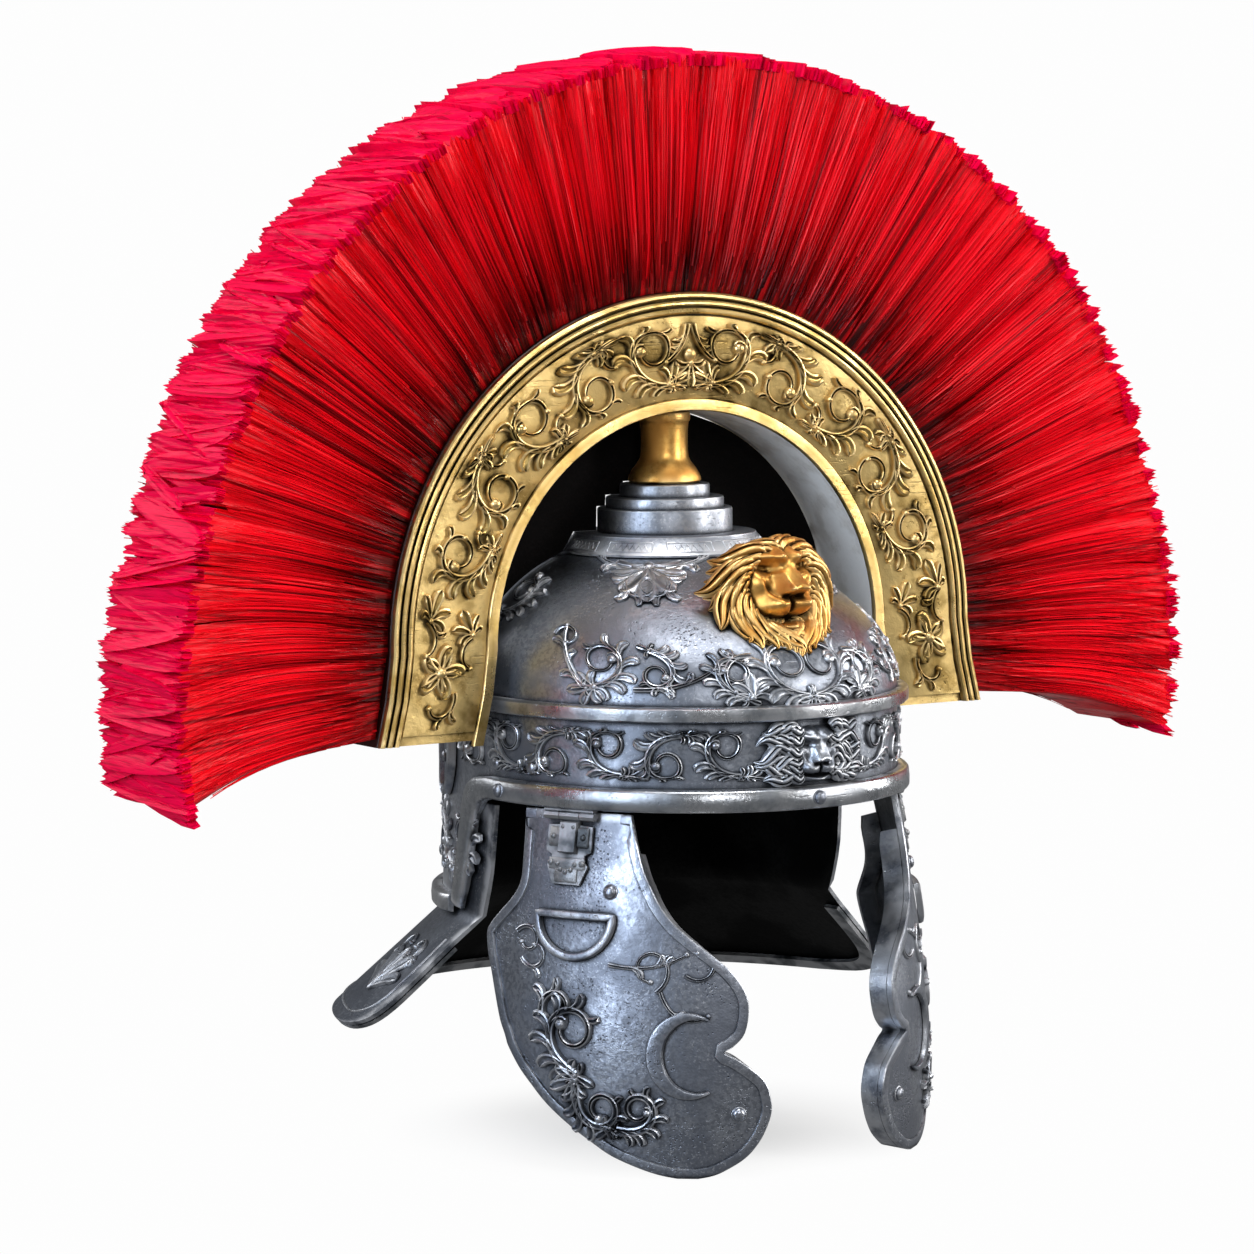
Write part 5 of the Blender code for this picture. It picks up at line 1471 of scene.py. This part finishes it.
# Coils are (u, v, heading, side, size), sprays are (u, v, heading, size, lobes) and stems are
# (u, v, heading, length, turn, width, leaves), in millimetres and degrees.
SIDE_COILS = ((-12, -13, 12, 1, 74), (20, 10, -24, -1, 58))
SIDE_SPRAYS = ((-8, -12, 190, 15, 5),)
SIDE_STEMS = ((-14, -12, 125, 38, -50, 1.7, ((0.15, 1, 12), (0.4, -1, 10), (0.62, 1, 11))),
              (-30, 18, 60, 24, -250, 1.3, ()),
              (12, -13, 0, 42, 40, 1.5, ((0.3, -1, 10), (0.6, 1, 9))))
FRONT_COILS = ((2, -13, 14, 1, 86), (36, -13, 24, 1, 64))
FRONT_SPRAYS = ((33, -12, 90, 15, 5),)
FRONT_STEMS = ((28, 12, 0, 32, -140, 1.5, ((0.2, 1, 11), (0.5, 1, 10))),)
FAN_STEMS = ((3, -3, -24, 46, -320, 1.7, ((0.15, 1, 13), (0.35, 1, 12), (0.5, 1, 9))),
             (9, 0, 12, 40, 70, 1.6, ((0.2, -1, 12), (0.4, 1, 11), (0.62, -1, 9))))
EMBOSS_RISE = 0.0015
FAN_CLIMB = 55


def ornament(shape, surface, coils, sprays, stems, width, rise):
    """Lay one motif's coils, sprays and stems on a surface."""
    for u, v, heading, side, size in coils:
        scroll(shape, surface, u, v, heading, side, size, width, rise)
    for u, v, heading, size, lobes in sprays:
        spray(shape, surface, u, v, heading, size, rise, lobes)
    for u, v, heading, length, turn, stem_width, leaves in stems:
        tendril(shape, surface, u, v, heading, length, turn, stem_width, 1.3, leaves, 1.3, rise)


def flipped(surface, way):
    """The same surface, with its u turned round where way is -1."""
    return lambda u, v, out: surface(u * way, v, out)


emboss = Shape()
for mirror in (1, -1):
    for angle in (-41, -139):
        fan_place = dome_surface(angle * mirror, FAN_CLIMB)
        for way in (1, -1):
            ornament(emboss, flipped(fan_place, way), (), (), FAN_STEMS, 1.3, EMBOSS_RISE)
        spray(emboss, fan_place, 0, 2, -90, 28, EMBOSS_RISE, 7)
    for angle in (-53, -127):
        ornament(emboss, dome_surface(angle, 14.0, mirror), SIDE_COILS, SIDE_SPRAYS, SIDE_STEMS, 1.5,
                 EMBOSS_RISE)
    ornament(emboss, dome_surface(-92, 36, mirror), ((-8, -8, 20, 1, 66),), (), (), 1.5, EMBOSS_RISE)
    for angle in (0, 180):
        ornament(emboss, flipped(dome_surface(angle, 10.5), mirror), FRONT_COILS, FRONT_SPRAYS,
                 FRONT_STEMS, 1.6, EMBOSS_RISE)
piece("dome_scrolls", emboss, relief_steel, "helmet")

# A running scroll fills the band, with its coils turned up and down by turns
BAND_START = 40.0
BAND_PITCH = 29.0
BAND_COILS = 11
LUG_PLACE = (0.208, 0.246)
BAND_MIDDLE = 0.0266
BAND_REACH = 0.0128


def band_surface(way):
    middle = wall_surface(0, BAND_MIDDLE)
    return lambda u, v, out: middle(-u * way, held(v, BAND_REACH), out)


band = Shape()
for mirror in (1, -1):
    for index in range(BAND_COILS):
        u = BAND_START + BAND_PITCH * index
        side = 1 if index % 2 == 0 else -1
        if LUG_PLACE[0] < (u + 8) * MM < LUG_PLACE[1]:
            continue
        scroll(band, band_surface(mirror), u, -11 * side, 12 * side, side, 68, 1.7, 0.0018)
        spray(band, band_surface(mirror), u - 3, -11.5 * side, 180 + 20 * side, 11, 0.0015, 5)
    lower = wall_surface(-128, -0.024, mirror)
    ornament(band, lower, ((-28, -13, 12, 1, 72), (6, 12, -12, -1, 70), (40, -13, 12, 1, 68)),
             ((4, 12, 160, 12, 5), (38, -13, 200, 12, 5)), (), 1.6, 0.0017)
piece("band_scrolls", band, relief_steel, "helmet")

# Small sunk panels round the boss's skirt, each a rim with a zigzag inside it
SKIRT_PANELS = 10
panels = Shape()
SKIRT_RADIUS = 0.048
skirt_low = Vector((CROWN_RADIUS + 0.0008,
                    BAND_HEIGHT + (DOME_RISE + GAP) * sin(radians(CROWN_CLIMB)) + 0.0012))
skirt_top = Vector((STEP_RADII[-1], CROWN_TOP - sum(STEP_HEIGHTS) - ROUNDING))


def skirt_surface(u, v, out):
    share = 0.5 + v / (skirt_top.y - skirt_low.y)
    place = skirt_low.lerp(skirt_top, share)
    radius, angle = place.x + out, u / SKIRT_RADIUS
    return Vector((radius * sin(angle), -radius * cos(angle), place.y))


wide, tall = 0.0115, (skirt_top.y - skirt_low.y) * 0.30
for index in range(SKIRT_PANELS):
    middle = SKIRT_RADIUS * 2 * pi * (index + 0.5) / SKIRT_PANELS
    corners = [(middle + wide * a, tall * b) for a, b in ((-1, -1), (1, -1), (1, 1), (-1, 1), (-1, -1))]
    for first, second in zip(corners, corners[1:]):
        line = [(first[0] + (second[0] - first[0]) * step / 6, first[1] + (second[1] - first[1]) * step / 6)
                for step in range(7)]
        stem(panels, skirt_surface, line, [0.00035] * 7, 0.0006, ROUND_SECTION)
    zigzag = [(middle - wide * 0.8 + wide * 1.6 * step / 12, tall * 0.6 * (1 if step % 2 else -1))
              for step in range(13)]
    stem(panels, skirt_surface, zigzag, [0.0004] * 13, 0.0006, ROUND_SECTION)
piece("skirt_panels", panels, relief_steel, "helmet")

# Lugs
# A tongue-shaped lug with a thick raised rim is riveted on the nape wall behind each leg of
# the crest. On the real helmet it steadies the box.
LUG_ROWS = ((0.0, 6.8), (0.45, 6.6), (0.72, 5.6), (0.90, 3.8), (1.0, 1.6))
LUG_ANGLE = -116.5
LUG_TOP = 0.0405
LUG_HEIGHT = 0.045
LUG_THICKNESS = 0.0045

lug = Shape()
top, under = [], []
for share, half_turn in refined(LUG_ROWS, 5):
    height = LUG_TOP - LUG_HEIGHT * share
    places = (-1, -0.93, -0.8, -0.66, -0.58, -0.3, 0, 0.3, 0.58, 0.66, 0.8, 0.93, 1)
    reliefs = (0.45, 0.9, 1.0, 0.9, 0.5, 0.46, 0.46, 0.46, 0.5, 0.9, 1.0, 0.9, 0.45)
    ends = 0.9 if share < 0.06 or share > 0.94 else 0.0
    top.append([wall_point(LUG_ANGLE + half_turn * p, height, LUG_THICKNESS * max(r, ends))
                for p, r in zip(places, reliefs)])
    under.append([wall_point(LUG_ANGLE + half_turn * p, height, GAP * 1.5) for p in places])
lug.slab(top, under)


def both_sides(name, ending, shape, finishes, body="cheek", own_node=True):
    """Make a right-hand piece and its mirror image, each on the body of its own side."""
    for hand, half in (("right", shape), ("left", shape.mirrored())):
        node = name + "_" + hand
        rides_on = body + "_" + hand if body == "cheek" else body
        piece(node + ending, half, finishes, rides_on, [node] if own_node else ())


both_sides("lug", "_casting", lug, steel, "helmet")

# Cheek guards
# Each cheek guard is a dished steel plate with a raised flat border, and a deep turned-in
# edge behind it. It hangs from its hinge and swings outwards.
CHEEK_HALF_WIDTH = 0.104
CHEEK_FRONT = 0.126
CHEEK_BULGE = 0.016
CHEEK_BULGE_SPAN = 0.250
CHEEK_TOP = -0.002
CHEEK_LENGTH = 0.1705
CHEEK_WALL = 0.002
EDGING_DEPTH = 0.0095
EDGING_THICKNESS = 0.002
BORDER_WIDTH = 0.0050
BORDER_RISE = 0.0011
CHEEK_MIDDLE = 45.0
CHEEK_ARC = 0.129
CHEEK_ROWS = (
    (0.000, 46.8, 74.8), (0.135, 43.7, 74.0), (0.200, 41.2, 73.9), (0.246, 39.1, 75.6),
    (0.293, 36.0, 79.0), (0.330, 32.5, 81.6), (0.358, 29.6, 82.5), (0.411, 24.4, 81.6),
    (0.465, 21.0, 80.0), (0.520, 19.7, 78.6), (0.592, 20.7, 76.8), (0.630, 23.3, 75.4),
    (0.646, 25.2, 74.9), (0.666, 22.2, 74.2), (0.719, 17.0, 71.3), (0.762, 15.4, 68.2),
    (0.813, 14.9, 64.3), (0.868, 16.3, 58.8), (0.909, 18.2, 54.0), (0.944, 20.8, 49.6),
    (0.974, 24.6, 43.8), (0.991, 27.6, 39.4), (1.000, 31.0, 35.4))

cheek_steel = metal("blued cheek steel", rgb(0.34, 0.365, 0.42), rgb(0.17, 0.185, 0.22),
                    rgb(0.010, 0.011, 0.013), rgb(0.62, 0.64, 0.68), rough=0.29, mottle=30.0, pits=1.0,
                    reach=0.0045, hammered=0.45)


def cheek_point(turn, height, out=0.0):
    """A point on the right cheek guard's outer face, by its angle from the brow."""
    angle = radians(turn)
    x, y = -CHEEK_HALF_WIDTH * sin(angle), -CHEEK_FRONT * cos(angle)
    normal = Vector((x / CHEEK_HALF_WIDTH ** 2, y / CHEEK_FRONT ** 2, 0)).normalized()
    swell = CHEEK_BULGE * sin(pi * min(1.0, max(0.0, -height / CHEEK_BULGE_SPAN)))
    return Vector((x, y, height)) + normal * (swell + out)


def cheek_normal(turn, height):
    across = cheek_point(turn + 0.5, height) - cheek_point(turn - 0.5, height)
    down = cheek_point(turn, height - 0.001) - cheek_point(turn, height + 0.001)
    return across.cross(down).normalized()


def on_cheek(turn, height, out):
    return cheek_point(turn, height) + cheek_normal(turn, height) * out


def cheek_height(share):
    return CHEEK_TOP - CHEEK_LENGTH * share


def cheek_surface(u, v, out):
    """The guard's face as a flat sheet: u forwards from its middle line, v up."""
    return on_cheek(CHEEK_MIDDLE - degrees(u / CHEEK_ARC), v, out)


def cheek_u(turn):
    """The u of a turn from the brow, on cheek_surface."""
    return radians(CHEEK_MIDDLE - turn) * CHEEK_ARC


fine_rows = refined(CHEEK_ROWS, 4)
outline = [(cheek_u(rear), cheek_height(share)) for share, fore, rear in fine_rows]
outline += [(cheek_u(fore), cheek_height(share)) for share, fore, rear in fine_rows[::-1]]


def inset_line(path, inset):
    """Move a closed path inwards, with a steady width round its corners."""
    moved = []
    count = len(path)
    for index in range(count):
        before, after = path[index - 2], path[(index + 2) % count]
        along = Vector((after[0] - before[0], after[1] - before[1])).normalized()
        moved.append((path[index][0] - along.y * inset, path[index][1] + along.x * inset))
    return moved


plate = Shape()
top, under = [], []
for share, fore, rear in fine_rows:
    height = cheek_height(share)
    turns = [fore + (rear - fore) * column / 28 for column in range(29)]
    top.append([on_cheek(turn, height, 0.0) for turn in turns])
    under.append([on_cheek(turn, height, -CHEEK_WALL) for turn in turns])
plate.slab(top, under, 0, 1)
lines = [(inset_line(outline, BORDER_WIDTH * share), BORDER_RISE * rise) for share, rise in
         ((0.0, -0.5), (0.0, 0.55), (0.08, 0.95), (0.16, 1.0), (0.84, 1.0), (0.93, 0.9), (1.0, 0.0),
          (1.0, -0.5))]
plate.skin([[cheek_surface(line[index][0], line[index][1], out) for line, out in lines]
            for index in range(len(outline))], closed=True, ink=0)
both_sides("cheek_plate", "_sheet", plate, [cheek_steel, dark_steel])

edging = Shape()
down = [(rear, cheek_height(share), share) for share, fore, rear in fine_rows]
rise = [(fore, cheek_height(share), share) for share, fore, rear in fine_rows[::-1]]
path = down[3:] + rise[1:-3]
sections = []
for index, (turn, height, share) in enumerate(path):
    before, after = path[max(0, index - 2)], path[min(len(path) - 1, index + 2)]
    normal = cheek_normal(turn, height)
    along = on_cheek(after[0], after[1], 0) - on_cheek(before[0], before[1], 0)
    inset = normal.cross(along).normalized() * EDGING_THICKNESS
    depth = EDGING_DEPTH * (0.3 + 0.7 * smooth(share / 0.15))
    near = on_cheek(turn, height, 0) - normal * (CHEEK_WALL + GAP)
    sections.append([near, near - normal * depth, near - normal * depth + inset, near + inset])
edging.skin(sections)
both_sides("cheek_edging", "_strip", edging, cheek_steel)

# Scrolls on the cheek guards
# A large acanthus scroll climbs the rear of each guard, with a thin chased scroll near the
# front edge and small curls below the loop.
CHEEK_COILS = ((-27, -125, 150, -1, 84), (-27, -129, -95, 1, 66), (-7, -150, -8, 1, 58))
CHEEK_SPRAYS = ((-27, -127, 200, 15, 5), (-10, -149, 215, 10, 3))
CHEEK_STEMS = ((-46, -98, 95, 26, -200, 1.9, ((0.2, 1, 12), (0.45, 1, 10))),)
FINE_STEMS = ((-12, -72, -8, 40, 40, 1.0, ((0.3, -1, 8), (0.6, 1, 8))),
              (12, -84, 40, 46, 330, 1.0, ((0.3, -1, 7),)),
              (14, -84, -70, 30, 110, 1.0, ((0.4, 1, 7),)),
              (26, -76, -30, 30, 240, 1.0, ()),
              (-64, -60, 40, 30, -300, 1.2, ((0.3, 1, 8),)),
              (-60, -72, -50, 26, 250, 1.2, ((0.3, -1, 8),)))
guard_scrolls = Shape()
ornament(guard_scrolls, cheek_surface, CHEEK_COILS, CHEEK_SPRAYS, CHEEK_STEMS, 2.2, 0.0025)
ornament(guard_scrolls, cheek_surface, (), (), FINE_STEMS, 1.0, 0.0012)
both_sides("cheek_scrolls", "", guard_scrolls, cheek_steel, own_node=False)

# Crescents and strap loops
# Behind the notch each guard has a flat crescent, horns forward. Above it a D-shaped loop, cast
# proud of the plate, takes the chin strap.
CRESCENT_THICKNESS = 0.0024
CRESCENT_TURN = 28.0
CRESCENT_SHARE = 0.655
CRESCENT_RADIUS = 0.0205
CRESCENT_BELLY = 0.0085
LOOP_WIRE = 0.0019
LOOP_TURN = 58.8
LOOP_SHARE = 0.282
LOOP_HALF_WIDTH = 0.0178
LOOP_DROP = 0.0195

crescent = Shape()
top, under = [], []
for index in range(41):
    share = index / 40
    bend = radians(58 + 244 * share)
    width = CRESCENT_BELLY * sin(pi * (0.03 + 0.94 * share))
    upper, lower = [], []
    for inward, lift in ((0, 0.45), (0.08, 0.95), (0.16, 1.0), (0.5, 1.0), (0.84, 1.0), (0.92, 0.95),
                         (1, 0.45)):
        reach = CRESCENT_RADIUS - width * inward
        turn = CRESCENT_TURN + 5.0 - degrees(reach * cos(bend) / (CHEEK_FRONT + CHEEK_BULGE * 0.5))
        height = cheek_height(CRESCENT_SHARE) - reach * sin(bend)
        upper.append(on_cheek(turn, height, CRESCENT_THICKNESS * lift))
        lower.append(on_cheek(turn, height, GAP))
    top.append(upper)
    under.append(lower)
crescent.slab(top, under)
both_sides("crescent", "_casting", crescent, cheek_steel)


def loop_place(across, down):
    turn = LOOP_TURN - degrees(across / (CHEEK_HALF_WIDTH + CHEEK_BULGE * 0.6))
    return turn, cheek_height(LOOP_SHARE) - down


loop = Shape()
path = [loop_place(LOOP_HALF_WIDTH * (-1 + index / 8), 0) for index in range(17)]
path += [loop_place(LOOP_HALF_WIDTH * cos(radians(a)), LOOP_DROP * sin(radians(a)))
         for a in range(6, 175, 6)]
sections = []
for index, (turn, height) in enumerate(path):
    before, after = path[index - 1], path[(index + 1) % len(path)]
    normal = cheek_normal(turn, height)
    along = (on_cheek(*after, 0) - on_cheek(*before, 0)).normalized()
    across = normal.cross(along).normalized()
    centre = on_cheek(turn, height, 0)
    sections.append([centre + across * LOOP_WIRE * a + normal * LOOP_WIRE * b for a, b in
                     ((-1, 0.15), (-1, 1.1), (-0.75, 1.6), (0, 1.85), (0.75, 1.6), (1, 1.1), (1, 0.15))])
loop.skin(sections, closed=True)
both_sides("strap_loop", "_casting", loop, cheek_steel)

# Hinges
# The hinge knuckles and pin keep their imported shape, in darkened steel. On the leaf sit a
# stepped strap plate and small pin heads, as the real one is built up from forged layers.
for name in ("hinge_fixed_right", "hinge_fixed_left", "hinge_leaf_right", "hinge_leaf_left"):
    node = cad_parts[name]
    node.data.materials.clear()
    node.data.materials.append(dark_steel)

HINGE_TURN = 61.5
HINGE_U = cheek_u(HINGE_TURN)
LEAF_FACE = 0.0020


def raised_plate(shape, surface, u0, u1, v0, v1, base, rise):
    """A small forged plate with eased edges, bent to its surface."""
    edge = min(rise, 0.0006)
    marks_u = [u0, u0 + edge, (u0 + u1) / 2, u1 - edge, u1]
    marks_v = [v0, v0 + edge, (v0 + v1) / 2, v1 - edge, v1]
    upper = [[surface(u, v, base + (rise if 0 < a < 4 and 0 < b < 4 else rise * 0.55))
              for a, u in enumerate(marks_u)] for b, v in enumerate(marks_v)]
    lower = [[surface(u, v, base - 0.0002) for u in marks_u] for v in marks_v]
    shape.slab(upper, lower)


hinge = Shape()
# Plates of the strap: (half-width, lower edge, upper edge, rise)
for half_width, low, high, rise in ((0.0112, -0.0185, -0.0095, 0.0010), (0.0052, -0.0215, -0.0068, 0.0022),
                                    (0.0100, -0.0290, -0.0238, 0.0009), (0.0062, -0.0350, -0.0285, 0.0009)):
    raised_plate(hinge, cheek_surface, HINGE_U - half_width, HINGE_U + half_width, low, high, LEAF_FACE,
                 rise)


def pin_head(u, v, radius, base):
    bud(hinge, lambda a, b, out: cheek_surface(a, b, base + out), u, v, radius, radius * 0.8)


for side in (-1, 1):
    pin_head(HINGE_U + side * 0.0086, -0.0140, 0.0014, LEAF_FACE + 0.0009)
    pin_head(HINGE_U + side * 0.0088, -0.0262, 0.0015, LEAF_FACE + 0.0008)
    pin_head(HINGE_U + side * 0.0030, -0.0094, 0.0010, LEAF_FACE + 0.0020)
for index in range(5):
    angle = radians(200 + 35 * index)
    pin_head(HINGE_U + 0.0052 * cos(angle), -0.0250 + 0.0052 * sin(angle), 0.0012, LEAF_FACE + 0.0009)
both_sides("hinge_straps", "", hinge, dark_steel, own_node=False)

# Rivets
# Domed iron rivets, each on a small turned collar, hold the rings, the lugs, the nape and the
# guards' linings.
RIVET_RADIUS = 0.0033
RIVET_STEPS = ((0, -0.1), (1.12, -0.1), (1.12, 0.10), (1.0, 0.16), (0.96, 0.18), (0.92, 0.36),
               (0.78, 0.56), (0.52, 0.70), (0.25, 0.76), (0, 0.77))


def rivet(name, foot, normal, body, node=None, size=1.0):
    head = Shape()
    radius = RIVET_RADIUS * size
    head.turned([(radius * out, radius * up) for out, up in RIVET_STEPS], 24, foot, normal)
    piece(name, head, cheek_steel, body, [node] if node else (), sharp=50)


def wall_normal(angle, height):
    across = wall_point(angle + 1, height) - wall_point(angle - 1, height)
    up = wall_point(angle, height + 0.001) - wall_point(angle, height - 0.001)
    return across.cross(up).normalized()


WALL_RIVETS = (("rim_rivet", 84.5, 0.50), ("band_rivet_rear", 88.5, 1.62), ("band_rivet_fore", 75.5, 1.62))
NAPE_RIVETS = ((124.0, 0.60), (117.0, 0.62), (110.5, 0.70))
CHEEK_RIVETS = (("cheek_rivet_upper", 50.8, 0.212), ("cheek_rivet_lower", 22.1, 0.819))
for side, hand in ((-1, "right"), (1, "left")):
    for name, angle, share in WALL_RIVETS:
        out = RING_PROUD if share < 1 else 0.0
        height = BROW_RING_HEIGHT * share
        rivet(name + "_" + hand + "_head", wall_point(side * angle, height, out),
              wall_normal(side * angle, height), "helmet", name + "_" + hand)
    for number, (angle, share) in enumerate(NAPE_RIVETS, 1):
        height = -NAPE_DROP * share
        node = "nape_rivet_%d_%s" % (number, hand)
        rivet(node + "_head", wall_point(side * angle, height), wall_normal(side * angle, height),
              "helmet", node)
    rivet("lug_rivet_" + hand, wall_point(side * 116.5, 0.014, LUG_THICKNESS * 0.5),
          wall_normal(side * 116.5, 0.014), "helmet", size=0.9)
    for name, turn, share in CHEEK_RIVETS:
        height = cheek_height(share)
        foot, normal = on_cheek(turn, height, 0), cheek_normal(turn, height)
        if side > 0:
            foot.x, normal.x = -foot.x, -normal.x
        rivet(name + "_" + hand + "_head", foot, normal, "cheek_" + hand, name + "_" + hand)
rivet("rim_rivet_front_head", wall_point(0, BROW_RING_HEIGHT * 0.5, RING_PROUD),
      wall_normal(0, BROW_RING_HEIGHT * 0.5), "helmet", "rim_rivet_front")

# Chasing on the neck guard
# A fine bead follows the neck guard's edge, and a spray of leaves is chased on each wing.
NECK_SPAN = 0.150
NECK_SLOPE = 0.0757
chasing = Shape()


def neck_surface(angle, share, mirror=1):
    def surface(u, v, out):
        place = neck_flare_point(angle + degrees(u / NECK_SPAN), share + v / NECK_SLOPE, -out)
        place.x *= mirror
        return place
    return surface


bead = []
for share, end in flared:
    if share > 0.12:
        bead.append((end + 3.4 * (1 - 0.3 * share), min(0.90, share * 0.92)))
whole = bead + [(angle, 0.90) for angle in neck_columns(bead[-1][0] + 2.5, 60)]
whole += [(360 - angle, share) for angle, share in bead[::-1]]
line = [(radians(angle) * NECK_SPAN, (share - 0.5) * NECK_SLOPE) for angle, share in whole]
stem(chasing, neck_surface(0, 0.5), line, [0.0007] * len(line), 0.0008, ROUND_SECTION)
for mirror in (1, -1):
    wing = neck_surface(-114, 0.50, mirror)
    for heading, length, turn in ((90, 22, 12), (70, 24, -40), (112, 24, 45), (48, 20, -60), (134, 20, 60)):
        leaf(chasing, wing, 0, 16, heading + 180, length * 1.3, turn, 0.0016, 0.16)
    for way in (1, -1):
        tendril(chasing, wing, 3 * way, -8, 90 - 70 * way, 34, -300 * way, 1.4, 1.4, ((0.3, way, 10),),
                1.3, 0.0014)
piece("neck_guard_chasing", chasing, steel, "helmet")

# The box of the CAD model and that of the finished one are kept for the builder
low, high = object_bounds()
{"cad": [list(cad_low), list(cad_high)], "visual": [list(low), list(high)]}
